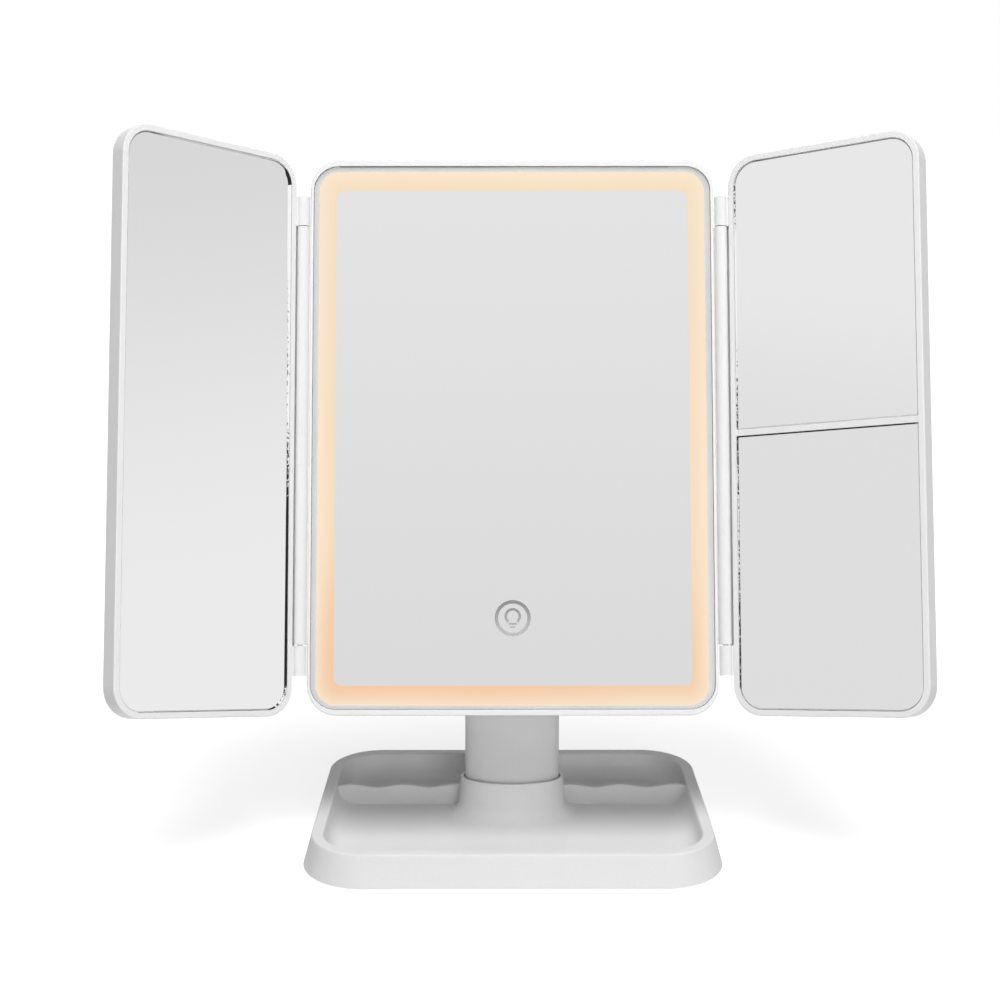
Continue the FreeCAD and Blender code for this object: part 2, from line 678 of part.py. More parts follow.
def back_shell():
    """Rear casing with the battery housing, the hinge ears and the board posts."""
    half = HALF_WIDTH + SHELL_OVERHANG
    corner = PANEL_CORNER + SHELL_OVERHANG
    shell = plate(-half, half, 0, PANEL_HEIGHT, corner, SHELL_BACK, -BEZEL_DEPTH)
    shell = shell.makeFillet(SHELL_ROUND, edges_at_height(shell, SHELL_BACK))
    inner = half - SHELL_SIDE_WALL
    shell = shell.cut(plate(-inner, inner, SHELL_SIDE_WALL, PANEL_HEIGHT - SHELL_SIDE_WALL,
                            corner - SHELL_SIDE_WALL, SHELL_FLOOR, 0))
    lip = opening_plate(LIP_CLEARANCE, SHELL_FLOOR - 0.5, LEDGE_BACK - LIP_CLEARANCE)
    lip = lip.cut(opening_plate(LIP_CLEARANCE + LIP_THICKNESS, SHELL_BACK - 1, 0))
    housing = plate(-HOUSING_HALF, HOUSING_HALF, HOUSING_LOW, HOUSING_HIGH, HOUSING_CORNER,
                    DOOR_OUTER, SHELL_BACK + 0.5)
    housing = housing.makeFillet(min(HOUSING_ROUND, HOUSING_WALL - 0.3),
                                 edges_at_height(housing, DOOR_OUTER))
    posts = [rod_z(BOARD_POST_RADIUS, SHELL_BACK + 0.5, BOARD_BACK, x, y)
             for x, y in board_screw_places()]
    shell = join([shell, lip, housing, ear(-1), ear(1)] + posts)

    # bay, door track and the step that the door slides over
    shell = shell.cut(block(-BAY_HALF, BAY_HALF, BAY_LOW, BAY_HIGH, DOOR_OUTER - 1, SHELL_BACK))
    shell = shell.cut(block(-BAY_HALF, BAY_HALF, BAY_HIGH - 1, HOUSING_HIGH + 1,
                            DOOR_OUTER - 1, POCKET_BACK))
    track = BAY_HALF + DOOR_TONGUE
    shell = shell.cut(block(-track, track, BAY_LOW + 2, HOUSING_HIGH + 1,
                            DOOR_INNER - DOOR_TONGUE_THICKNESS - DOOR_CLEARANCE,
                            POCKET_BACK))
    # pocket of the charging board, open into the panel
    shell = shell.cut(block(-BAY_HALF, BAY_HALF, POCKET_LOW, POCKET_HIGH, POCKET_FLOOR, 0))
    mouth = socket_body(SOCKET_CLEARANCE)
    mouth.translate(vec(SOCKET_LENGTH / 2, 0, 0))
    shell = shell.cut(mouth)

    for cut in tilt_bolt_hole():
        shell = shell.cut(cut)
    for x, y in board_screw_places():
        shell = shell.cut(rod_z(BOARD_SCREW_RADIUS, BOARD_BACK - BOARD_SCREW_DEPTH,
                                BOARD_BACK + 1, x, y))
    return shell


# --- Tilt joint parts -------------------------------------------------------
def tilt_bolt():
    head_low = -EAR_OUTER + CAP_THICKNESS + CAP_CLEARANCE
    head = rod_x(BOLT_HEAD_RADIUS, head_low, head_low + BOLT_HEAD_HEIGHT, PIVOT_UP, PIVOT_Z)
    shank_high = EAR_OUTER - CAP_THICKNESS - CAP_CLEARANCE - 0.3
    shank = rod_x(BOLT_RADIUS, head_low + 1, shank_high, PIVOT_UP, PIVOT_Z)
    slot = block(head_low - 1, head_low + 0.9, PIVOT_UP - 3.2, PIVOT_UP + 3.2,
                 PIVOT_Z - 0.5, PIVOT_Z + 0.5)
    return join([head, shank]).cut(slot)


def tilt_nut():
    high = EAR_OUTER - CAP_THICKNESS - CAP_CLEARANCE
    nut = nut_prism(high - NUT_HEIGHT, high, 0)
    return nut.cut(rod_x(BOLT_RADIUS + BOLT_CLEARANCE, 0, EAR_OUTER, PIVOT_UP, PIVOT_Z))


def friction_washers():
    washers = []
    for side in (-1, 1):
        inner = side * (HUB_HALF + WASHER_GAP)
        x_low, x_high = sorted((inner, inner + side * WASHER_THICKNESS))
        disc = rod_x(WASHER_RADIUS, x_low, x_high, PIVOT_UP, PIVOT_Z)
        washers.append(disc.cut(rod_x(BOLT_RADIUS + BOLT_CLEARANCE, x_low - 1, x_high + 1,
                                      PIVOT_UP, PIVOT_Z)))
    return Part.makeCompound(washers)


def hinge_caps():
    """Round covers over the bolt head and the nut."""
    caps = []
    for side in (-1, 1):
        outer = side * EAR_OUTER
        x_low, x_high = sorted((outer - side * CAP_THICKNESS, outer))
        caps.append(rod_x(CAP_RADIUS, x_low, x_high, PIVOT_UP, PIVOT_Z))
    return Part.makeCompound(caps)


# --- Wings ------------------------------------------------------------------
def wing_plate(side, inset, z_low, z_high):
    """Plate the shape of a wing's outline, made smaller by inset."""
    x_low, x_high = sorted((side * (WING_INNER + inset), side * (WING_OUTER - inset)))
    corner = max(PANEL_CORNER - inset, 1.0)
    return plate(x_low, x_high, inset, PANEL_HEIGHT - inset, corner, z_low, z_high)


WING_GLASS_FRONT = -WING_GLASS_RECESS
WING_GLASS_BACK = WING_GLASS_FRONT - WING_GLASS_THICKNESS
WING_LEDGE_FRONT = WING_GLASS_BACK - TAPE_THICKNESS
WING_LEDGE_BACK = WING_LEDGE_FRONT - WING_LEDGE_THICKNESS
BAR_LOW = PANEL_HEIGHT / 2 - WING_BAR / 2
BAR_HIGH = PANEL_HEIGHT / 2 + WING_BAR / 2


def wing_frame(side, with_bar):
    """Wing's front frame with its two hinge knuckles and the trough between them."""
    frame = wing_plate(side, 0, -WING_FRAME_DEPTH, 0)
    frame = frame.makeFillet(RIM_ROUND, edges_at_height(frame, 0))
    frame = frame.cut(wing_plate(side, WING_RIM, WING_LEDGE_FRONT, 1))
    frame = frame.cut(wing_plate(side, WING_RIM + WING_LEDGE_WIDTH, -WING_FRAME_DEPTH - 1, 1))
    frame = frame.cut(wing_plate(side, WING_RIM, -WING_FRAME_DEPTH - 1, WING_LEDGE_BACK))
    pieces = [frame]
    if with_bar:
        x_low, x_high = sorted((side * (WING_INNER + WING_RIM / 2),
                                side * (WING_OUTER - WING_RIM / 2)))
        web = WING_LEDGE_WIDTH / 2
        pieces.append(block(x_low, x_high, BAR_LOW, BAR_HIGH, WING_LEDGE_BACK, -RIM_ROUND))
        pieces.append(block(x_low, x_high, BAR_LOW - web, BAR_HIGH + web,
                            WING_LEDGE_BACK, WING_LEDGE_FRONT))
    x_low, x_high = sorted((side * (HINGE_X + TROUGH_REACH), side * (WING_INNER + WING_RIM / 2)))
    pieces.append(block(x_low, x_high, HINGE_END, PANEL_HEIGHT - HINGE_END,
                        -WING_FRAME_DEPTH, -RIM_ROUND))
    for low in (HINGE_END, PANEL_HEIGHT - HINGE_END - KNUCKLE_LENGTH):
        knuckle = rod_y(BARREL_RADIUS, low, low + KNUCKLE_LENGTH, side * HINGE_X, HINGE_FORWARD)
        x_low, x_high = sorted((side * HINGE_X, side * (WING_INNER + WING_RIM / 2)))
        web = block(x_low, x_high, low, low + KNUCKLE_LENGTH,
                    HINGE_FORWARD - BARREL_RADIUS, -RIM_ROUND)
        pieces += [knuckle, web]
    frame = join(pieces)
    # trough that wraps behind the centre panel's barrel
    low = HINGE_END + KNUCKLE_LENGTH
    frame = frame.cut(rod_y(BARREL_RADIUS + WING_GAP, low, PANEL_HEIGHT - low,
                            side * HINGE_X, HINGE_FORWARD))
    for span in hinge_pin_spans():
        frame = frame.cut(hinge_bore(side, span))
    return frame


def wing_back_cover(side):
    """Rear cover of a wing, with a lip inside the frame."""
    cover = wing_plate(side, 0, -WING_THICKNESS, -WING_FRAME_DEPTH)
    cover = cover.makeFillet(min(WING_ROUND, WING_THICKNESS - WING_FRAME_DEPTH - 0.3),
                             edges_at_height(cover, -WING_THICKNESS))
    cover = cover.cut(wing_plate(side, WING_RIM, -WING_THICKNESS + WING_COVER_WALL, 0))
    lip = wing_plate(side, WING_RIM + LIP_CLEARANCE, -WING_THICKNESS + WING_COVER_WALL / 2,
                     WING_LEDGE_BACK - LIP_CLEARANCE)
    lip = lip.cut(wing_plate(side, WING_RIM + LIP_CLEARANCE + LIP_THICKNESS,
                             -WING_THICKNESS, 0))
    return join([cover, lip])


def wing_glass(side, low, high):
    """Mirror glass that fills the wing's frame between two heights."""
    inset = WING_RIM + GLASS_CLEARANCE
    glass = wing_plate(side, inset, WING_GLASS_BACK, WING_GLASS_FRONT)
    window = block(-WING_OUTER - 1, WING_OUTER + 1, low, high, WING_GLASS_BACK - 1, 1)
    glass = glass.common(window).Solids[0]
    return glass.makeChamfer(GLASS_BEVEL, edges_at_height(glass, WING_GLASS_FRONT))


def wing_tape(side, low, high):
    """Foam tape under one wing glass."""
    outer = wing_plate(side, WING_RIM + GLASS_CLEARANCE, WING_LEDGE_FRONT, WING_GLASS_BACK)
    inner = wing_plate(side, WING_RIM + WING_LEDGE_WIDTH, WING_LEDGE_FRONT - 1, 0)
    window = block(-WING_OUTER - 1, WING_OUTER + 1, low, high, -WING_THICKNESS, 0)
    return outer.cut(inner).common(window)


# --- Column -----------------------------------------------------------------
def column():
    """Oval column, open below, with the tilt hub across its top."""
    top = PIVOT_HEIGHT + HUB_RADIUS
    stem = prism(oval(COLUMN_WIDTH / 2, HUB_RADIUS, COLUMN_Y, SOCKET_FLOOR), top - SOCKET_FLOOR)
    wide = COLUMN_WIDTH
    profile = join([block(-wide, wide, COLUMN_Y - COLUMN_DEPTH, COLUMN_Y + COLUMN_DEPTH,
                          SOCKET_FLOOR - 1, PIVOT_HEIGHT),
                    rod_x(HUB_RADIUS, -wide, wide, COLUMN_Y, PIVOT_HEIGHT)])
    stem = stem.common(profile)
    hub = rod_x(HUB_RADIUS, -HUB_HALF, HUB_HALF, COLUMN_Y, PIVOT_HEIGHT)
    stem = join([stem, hub])
    hollow_top = PIVOT_HEIGHT - HUB_RADIUS - COLUMN_WALL
    hollow = prism(oval(COLUMN_WIDTH / 2 - COLUMN_WALL, HUB_RADIUS - COLUMN_WALL, COLUMN_Y,
                        SOCKET_FLOOR - 1), hollow_top - SOCKET_FLOOR + 1)
    post_top = SOCKET_FLOOR + COLUMN_SCREW_LENGTH
    post = rod_z(COLUMN_POST_RADIUS, SOCKET_FLOOR, hollow_top + 1, 0, COLUMN_Y)
    rib = block(-COLUMN_WIDTH / 2 + 1, COLUMN_WIDTH / 2 - 1, COLUMN_Y - COLUMN_RIB / 2,
                COLUMN_Y + COLUMN_RIB / 2, SOCKET_FLOOR, hollow_top + 1)
    stem = stem.cut(hollow.cut(join([post, rib])))
    stem = stem.cut(rod_z(COLUMN_SCREW_RADIUS, SOCKET_FLOOR - 1, post_top, 0, COLUMN_Y))
    bore = rod_x(BOLT_RADIUS + BOLT_CLEARANCE, -HUB_HALF - 1, HUB_HALF + 1,
                 COLUMN_Y, PIVOT_HEIGHT)
    return stem.cut(bore)


def column_screw():
    """Screw that holds the column in the base, put in from below."""
    head_low = SCREW_SEAT - COLUMN_SCREW_HEAD_HEIGHT
    head = rod_z(COLUMN_SCREW_HEAD, head_low, SCREW_SEAT, 0, COLUMN_Y)
    shank = rod_z(COLUMN_SCREW_RADIUS, SCREW_SEAT,
                  SOCKET_FLOOR + COLUMN_SCREW_LENGTH - 1, 0, COLUMN_Y)
    slot = block(-3, 3, COLUMN_Y - 0.5, COLUMN_Y + 0.5, head_low - 1, head_low + 0.9)
    return join([head, shank]).cut(slot)


# --- Base -------------------------------------------------------------------
def base_outline(grow, radius, z):
    """Outline of the base at height z: the rim's, grown all round."""
    front = RIM_FRONT_WIDTH / 2 + grow
    rear = RIM_REAR_WIDTH / 2 + grow
    half = RIM_TRAY_DEPTH / 2 + grow
    corners = [(-front, -half), (front, -half), (rear, half), (-rear, half)]
    return rounded_polygon(corners, radius, z)


def base_hull(inset, z_low, z_high):
    """Flared block between the floor outline and the rim outline."""
    share_low = (z_low - SKIRT_BOTTOM) / (RIM_HEIGHT - SKIRT_BOTTOM)
    share_high = (z_high - SKIRT_BOTTOM) / (RIM_HEIGHT - SKIRT_BOTTOM)
    wires = []
    for share, z in ((share_low, z_low), (share_high, z_high)):
        grow = SKIRT_FLARE * (1 - share) - inset
        radius = SKIRT_CORNER + (RIM_CORNER - SKIRT_CORNER) * share - inset
        wires.append(base_outline(grow, radius, z))
    return loft(wires[0], wires[1])


def tray_hollow(swell, top):
    """Dished hollow of the tray, swollen by a wall thickness."""
    floor = TRAY_FLOOR - swell
    upper_corner = RIM_CORNER - RIM_WIDTH + swell
    lower = base_outline(-RIM_WIDTH - TRAY_WALL_SLOPE + swell, upper_corner - TRAY_WALL_SLOPE / 2,
                         floor)
    upper = base_outline(-RIM_WIDTH + swell, upper_corner, top)
    hollow = loft(lower, upper)
    return hollow.makeFillet(TRAY_FILLET + swell, edges_at_height(hollow, floor))


def boss_form(z_low):
    """Oval boss that the column stands in."""
    half_x = COLUMN_WIDTH / 2 + COLUMN_CLEARANCE + BOSS_WALL
    half_y = HUB_RADIUS + COLUMN_CLEARANCE + BOSS_WALL
    return loft(oval(half_x + BOSS_SLOPE, half_y + BOSS_SLOPE, COLUMN_Y, z_low),
                oval(half_x, half_y, COLUMN_Y, BOSS_HEIGHT))


def divider():
    """Wall between the front tray and the rear trough, its top edge a wave."""
    reach = RIM_FRONT_WIDTH / 2
    steps = 4 * int(2 * reach / DIVIDER_PITCH)
    y_front = DIVIDER_Y - DIVIDER_THICKNESS / 2
    wave = []
    for index in range(steps + 1):
        x = -reach + 2 * reach * index / steps
        phase = 2 * math.pi * (abs(x) - DIVIDER_FIRST_CREST) / DIVIDER_PITCH
        height = DIVIDER_CREST - DIVIDER_WAVE * (1 - math.cos(phase)) / 2
        wave.append(vec(x, y_front, height))
    top = Part.BSplineCurve()
    top.interpolate(wave)
    low = TRAY_UNDERSIDE
    sides = Part.makePolygon([wave[-1], vec(reach, y_front, low), vec(-reach, y_front, low),
                              wave[0]])
    face = Part.Face(Part.Wire([top.toShape()] + sides.Edges))
    return face.extrude(vec(0, DIVIDER_THICKNESS, 0))


def corner_places(inset):
    """Four places near the base's corners, inset from the rim's outline."""
    half = RIM_TRAY_DEPTH / 2 - inset
    front = RIM_FRONT_WIDTH / 2 - inset
    rear = RIM_REAR_WIDTH / 2 - inset
    return [(-front, -half), (front, -half), (rear, half), (-rear, half)]


def base_tray():
    """Tray moulding: flared skirt, dished tray, wavy divider, column boss."""
    body = base_hull(0, SKIRT_BOTTOM, RIM_HEIGHT)
    hollow = tray_hollow(0, RIM_HEIGHT)
    body = body.cut(hollow)
    body = body.makeFillet(RIM_EDGE_ROUND, edges_at_height(body, RIM_HEIGHT))
    boss = boss_form(TRAY_FLOOR)
    body = join([body, boss])
    body = body.makeFillet(BOSS_FILLET, boss_foot_edges(body))

    # socket for the column and its screw
    body = body.cut(prism(oval(COLUMN_WIDTH / 2 + COLUMN_CLEARANCE, HUB_RADIUS + COLUMN_CLEARANCE,
                               COLUMN_Y, SOCKET_FLOOR), BOSS_HEIGHT))
    mouth = COLUMN_CLEARANCE + BOSS_MOUTH
    body = body.cut(prism(oval(COLUMN_WIDTH / 2 + mouth, HUB_RADIUS + mouth, COLUMN_Y,
                               BOSS_HEIGHT - BOSS_MOUTH_DEPTH), BOSS_HEIGHT))
    body = body.cut(rod_z(COLUMN_SCREW_HEAD + SCREW_CLEARANCE, 0, SCREW_SEAT, 0, COLUMN_Y))
    body = body.cut(rod_z(COLUMN_SCREW_RADIUS + SCREW_CLEARANCE, 0, SOCKET_FLOOR + 1,
                          0, COLUMN_Y))

    # underside: a hollow rim, and posts for the cover's screws
    under = base_hull(SKIRT_WALL, SKIRT_BOTTOM - 1, RIM_HEIGHT - SKIRT_WALL)
    under = under.cut(tray_hollow(TRAY_WALL, RIM_HEIGHT + TRAY_WALL))
    for x, y in corner_places(COVER_SCREW_INSET):
        under = under.cut(rod_z(COVER_POST_RADIUS, COVER_TOP, RIM_HEIGHT, x, y))
    body = body.cut(under)
    for x, y in corner_places(COVER_SCREW_INSET):
        body = body.cut(rod_z(COVER_SCREW_RADIUS, COVER_BOTTOM,
                              COVER_BOTTOM + COVER_SCREW_LENGTH, x, y))

    wall = divider().common(tray_hollow(0.2, RIM_HEIGHT)).cut(boss_form(TRAY_UNDERSIDE))
    return join([body, wall])


def boss_foot_edges(body):
    """Oval edge where the boss meets the tray floor."""
    edges = []
    for edge in edges_at_height(body, TRAY_FLOOR):
        box = edge.BoundBox
        if box.XMax < COLUMN_WIDTH and box.XMin > -COLUMN_WIDTH and box.YLength < 2 * COLUMN_DEPTH:
            edges.append(edge)
    return edges


def base_cover():
    """Flat cover under the base, with holes for feet and screws."""
    grow = SKIRT_FLARE - SKIRT_WALL - COVER_CLEARANCE
    radius = SKIRT_CORNER - SKIRT_WALL - COVER_CLEARANCE
    cover = prism(base_outline(grow - 0.4, radius, COVER_BOTTOM), COVER_THICKNESS)
    for x, y in corner_places(FOOT_INSET):
        cover = cover.cut(rod_z(FOOT_RADIUS + FOOT_CLEARANCE, 0, COVER_TOP + 1, x, y))
    for x, y in corner_places(COVER_SCREW_INSET):
        cover = cover.cut(screw_cone(x, y, SCREW_CLEARANCE))
    return cover.cut(rod_z(COVER_HOLE_RADIUS, 0, COVER_TOP + 1, 0, COLUMN_Y))


def screw_cone(x, y, grow):
    """Countersunk head, wide end at the cover's lower face."""
    return Part.makeCone(COVER_SCREW_HEAD + grow, COVER_SCREW_RADIUS + grow,
                         COVER_THICKNESS, vec(x, y, COVER_BOTTOM), vec(0, 0, 1))


def cover_screws():
    screws = []
    for x, y in corner_places(COVER_SCREW_INSET):
        shank = rod_z(COVER_SCREW_RADIUS, COVER_BOTTOM + 0.2,
                      COVER_BOTTOM + COVER_SCREW_LENGTH - 0.5, x, y)
        screws.append(join([screw_cone(x, y, 0), shank]))
    return Part.makeCompound(screws)


def rubber_feet():
    """Four pads through the cover, backed by the tray's floor."""
    pads = []
    for x, y in corner_places(FOOT_INSET):
        pad = rod_z(FOOT_RADIUS, 0, TRAY_UNDERSIDE - CONTACT_GAP, x, y)
        pads.append(pad.makeFillet(0.3, edges_at_height(pad, 0)))
    return Part.makeCompound(pads)


# --- Build ------------------------------------------------------------------
def main():
    os.makedirs("parts", exist_ok=True)
    save("base_tray", base_tray())
    save("base_cover", base_cover())
    save("base_cover_screws", cover_screws())
    save("rubber_feet", rubber_feet())
    save("column", column())
    save("column_screw", column_screw())

    head = {
        "front_bezel": front_bezel(),
        "centre_mirror": centre_mirror(),
        "mirror_tape": mirror_tape(),
        "light_diffuser": light_diffuser(),
        "led_strips": led_strips(),
        "control_board": control_board(),
        "board_screws": board_screws(),
        "touch_spring": touch_spring(),
        "ribbon_cable": ribbon_cable(),
        "lamp_lead": lamp_lead(),
        "charging_board": charging_board(),
        "charging_socket": charging_socket(),
        "battery_cells": battery_cells(),
        "spring_contacts": spring_contacts(),
        "button_contacts": button_contacts(),
        "battery_door": battery_door(),
        "back_shell": back_shell(),
        "tilt_bolt": tilt_bolt(),
        "tilt_nut": tilt_nut(),
        "friction_washers": friction_washers(),
        "hinge_caps": hinge_caps(),
        "left_hinge_pins": hinge_pins(-1),
        "right_hinge_pins": hinge_pins(1),
    }
    for node, shape in head.items():
        save(node, stand_up(shape))

    left = {
        "left_wing_frame": wing_frame(-1, False),
        "left_wing_cover": wing_back_cover(-1),
        "left_wing_mirror": wing_glass(-1, 0, PANEL_HEIGHT),
        "left_wing_tape": wing_tape(-1, 0, PANEL_HEIGHT),
    }
    for node, shape in left.items():
        save(node, stand_up(swing(shape, -1)))

    below = BAR_LOW - GLASS_CLEARANCE
    above = BAR_HIGH + GLASS_CLEARANCE
    right = {
        "right_wing_frame": wing_frame(1, True),
        "right_wing_cover": wing_back_cover(1),
        "right_upper_mirror": wing_glass(1, above, PANEL_HEIGHT),
        "right_lower_mirror": wing_glass(1, 0, below),
        "right_upper_tape": wing_tape(1, above, PANEL_HEIGHT),
        "right_lower_tape": wing_tape(1, 0, below),
    }
    for node, shape in right.items():
        save(node, stand_up(swing(shape, 1)))


main()
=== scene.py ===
"""Looks of a trifold vanity mirror with a lit centre panel, two wings and a tray base."""

import functools
import json
import logging
import math
from dataclasses import dataclass
from enum import Enum
from typing import Protocol

import bmesh
import bpy
from mathutils import Matrix, Vector


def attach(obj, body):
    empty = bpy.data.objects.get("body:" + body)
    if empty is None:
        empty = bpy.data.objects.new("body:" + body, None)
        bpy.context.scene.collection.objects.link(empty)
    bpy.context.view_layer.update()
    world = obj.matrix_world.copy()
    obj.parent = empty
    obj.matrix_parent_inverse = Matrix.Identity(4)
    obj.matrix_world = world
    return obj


LOG = logging.getLogger("vanity_mirror")
MM = 0.001
TOUCHING = 0.01 * MM

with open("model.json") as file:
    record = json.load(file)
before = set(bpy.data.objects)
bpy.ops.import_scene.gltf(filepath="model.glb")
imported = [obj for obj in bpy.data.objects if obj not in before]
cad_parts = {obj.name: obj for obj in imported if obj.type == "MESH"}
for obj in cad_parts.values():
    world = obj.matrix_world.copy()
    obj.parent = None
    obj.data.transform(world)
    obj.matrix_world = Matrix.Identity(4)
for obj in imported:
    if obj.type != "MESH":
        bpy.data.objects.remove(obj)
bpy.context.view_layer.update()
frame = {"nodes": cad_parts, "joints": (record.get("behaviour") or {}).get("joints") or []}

Colour = tuple[float, float, float]
BLACK: Colour = (0.0, 0.0, 0.0)
WHITE: Colour = (1.0, 1.0, 1.0)


class Slot(Enum):
    """Material slots of the record, by name."""

    GLASS = "mirror_glass"
    BAND = "frosted_acrylic"


class Ray(Enum):
    """Kinds of ray that see the studio's background."""

    CAMERA = "Is Camera Ray"
    GLOSSY = "Is Glossy Ray"
    TRANSMISSION = "Is Transmission Ray"


# --- Shader building --------------------------------------------------------
class Value:
    """A node's output socket that takes part in arithmetic."""

    def __init__(self, graph: "Graph", socket: bpy.types.NodeSocket) -> None:
        """Wrap a socket of a graph.

        Args:
            graph: The graph that the socket belongs to.
            socket: The output socket.
        """
        self.graph = graph
        self.socket = socket

    def _math(self, operation: str, *others: "Value | float") -> "Value":
        """Add a Math node with this value as its first input.

        Args:
            operation: The Math node's operation.
            others: Its further inputs.

        Returns:
            The node's result.
        """
        return self.graph.add("ShaderNodeMath", {"operation": operation},
                              dict(enumerate((self, *others))))

    def __add__(self, other: "Value | float") -> "Value":
        """Sum of two values."""
        return self._math("ADD", other)

    __radd__ = __add__

    def __mul__(self, other: "Value | float") -> "Value":
        """Product of two values."""
        return self._math("MULTIPLY", other)

    __rmul__ = __mul__

    def __sub__(self, other: "Value | float") -> "Value":
        """This value less another."""
        return self._math("SUBTRACT", other)

    def __rsub__(self, other: "Value | float") -> "Value":
        """Another value less this one."""
        return self * -1.0 + other

    def at_most(self, other: "Value | float") -> "Value":
        """The smaller of two values."""
        return self._math("MINIMUM", other)

    def ramp(self, low: float, high: float, start: float = 0.0, end: float = 1.0) -> "Value":
        """Map this value smoothly from one range to another, and hold it there.

        Args:
            low: The value that gives start.
            high: The value that gives end.
            start: Result at and beyond low.
            end: Result at and beyond high.

        Returns:
            The mapped value.
        """
        settings = {"interpolation_type": "SMOOTHSTEP", "clamp": True}
        inputs = {"Value": self, "From Min": low, "From Max": high, "To Min": start, "To Max": end}
        return self.graph.add("ShaderNodeMapRange", settings, inputs)


class Graph:
    """Node tree of a material or of the world, built node by node."""

    def __init__(self, tree: bpy.types.NodeTree) -> None:
        """Take over a node tree and empty it.

        Args:
            tree: The node tree.
        """
        self.tree = tree
        tree.nodes.clear()

    def add(
        self,
        kind: str,
        settings: dict[str, object] | None = None,
        inputs: dict[str | int, object] | None = None,
        output: str | int = 0,
    ) -> Value:
        """Add a node, set it up and join its inputs.

        Args:
            kind: The node's type.
            settings: Its own settings, set first.
            inputs: Values or links of its input sockets, by name or number.
            output: The output socket to return, by name or number.

        Returns:
            The chosen output socket, wrapped.
        """
        node = self.tree.nodes.new(kind)
        for key, setting in (settings or {}).items():
            setattr(node, key, setting)
        for key, item in (inputs or {}).items():
            socket = self._input(node, key)
            if isinstance(item, Value):
                self.tree.links.new(item.socket, socket)
            else:
                socket.default_value = item
        if not node.outputs:
            return Value(self, None)
        return Value(self, node.outputs[output])

    @staticmethod
    def _input(node: bpy.types.Node, key: str | int) -> bpy.types.NodeSocket:
        """Find an input socket of a node, the enabled one where names repeat.

        Args:
            node: The node.
            key: The socket's name or number.

        Returns:
            The socket.
        """
        if isinstance(key, int):
            return node.inputs[key]
        matches = [s for s in node.inputs if s.name == key and s.enabled]
        return matches[0] if matches else node.inputs[key]

    def mix(self, share: "Value | float", first: object, second: object) -> Value:
        """Blend two colours.

        Args:
            share: How much of the second colour, 0 to 1.
            first: The first colour, linked or as four numbers.
            second: The second colour, linked or as four numbers.

        Returns:
            The blended colour.
        """
        settings = {"data_type": "RGBA", "blend_type": "MIX"}
        return self.add("ShaderNodeMix", settings, {"Factor": share, "A": first, "B": second},
                        "Result")

    def place(self) -> Value:
        """Position on the object, in its own metres."""
        return self.add("ShaderNodeTexCoord", output="Object")

    def axis(self, name: str) -> Value:
        """One coordinate of the position on the object: X, Y or Z."""
        return self.add("ShaderNodeSeparateXYZ", inputs={0: self.place()}, output=name)

    def attribute(self, name: str) -> Value:
        """Number stored at the mesh's points under a name."""
        return self.add("ShaderNodeAttribute", {"attribute_name": name}, output="Fac")

    def noise(self, size: float, detail: float = 2.0, roughness: float = 0.5) -> Value:
        """Cloudy noise on the object.

        Args:
            size: Size of its largest spots in metres.
            detail: Number of finer layers.
            roughness: Strength of the finer layers.

        Returns:
            The noise, about 0 to 1.
        """
        inputs = {"Vector": self.place(), "Scale": 1.0 / size, "Detail": detail,
                  "Roughness": roughness}
        return self.add("ShaderNodeTexNoise", inputs=inputs, output=0)

    def bump(self, height: Value, distance: float, strength: float = 1.0) -> Value:
        """Surface normal from a height.

        Args:
            height: Height, 0 to 1.
            distance: Height of 1 in metres.
            strength: Strength of the bump.

        Returns:
            The normal.
        """
        inputs = {"Strength": strength, "Distance": distance, "Height": height}
        return self.add("ShaderNodeBump", inputs=inputs)


def surface(name: str) -> tuple[bpy.types.Material, Graph]:
    """Make a node material.

    Args:
        name: The material's name.

    Returns:
        The material and its emptied graph.
    """
    material = bpy.data.materials.new(name)
    material.use_nodes = True
    return material, Graph(material.node_tree)


def rgba(colour: Colour) -> tuple[float, float, float, float]:
    """Colour with full alpha."""
    return (*colour, 1.0)


def finish_principled(graph: Graph, inputs: dict[str, object]) -> None:
    """End a graph in one Principled shader.

    Args:
        graph: The material's graph.
        inputs: Values and links of the shader's sockets.
    """
    shader = graph.add("ShaderNodeBsdfPrincipled", inputs=inputs)
    graph.add("ShaderNodeOutputMaterial", inputs={"Surface": shader})


# --- Finishes ---------------------------------------------------------------
class Finish(Protocol):
    """Anything that can build a material for a surface."""

    def material(self) -> bpy.types.Material:
        """Build the material."""


@functools.cache
def coat(finish: Finish) -> bpy.types.Material:
    """Material of a finish, built once however many pieces wear it."""
    return finish.material()


@dataclass(frozen=True)
class MouldedPlastic:
    """Spark-eroded or smooth moulded plastic with a fine grain."""

    name: str
    colour: Colour
    roughness: float = 0.42
    grain: float = 0.45 * MM
    depth: float = 0.012 * MM
    cloud: float = 30 * MM
    mottle: float = 0.012
    ior: float = 1.46

    def material(self) -> bpy.types.Material:
        """Build the material.

        Returns:
            The material.
        """
        made, graph = surface(self.name)
        cloud = graph.noise(self.cloud, 3.0)
        grain = graph.noise(self.grain, 2.0, 0.6)
        dark = tuple(channel * (1 - 2 * self.mottle) for channel in self.colour)
        shade = (cloud * 0.7 + grain * 0.3).ramp(0.3, 0.7)
        finish_principled(graph, {
            "Base Color": graph.mix(shade, rgba(dark), rgba(self.colour)),
            "Roughness": cloud * 0.06 + grain * 0.06 + (self.roughness - 0.06),
            "Normal": graph.bump(grain, self.depth),
            "IOR": self.ior,
        })
        return made


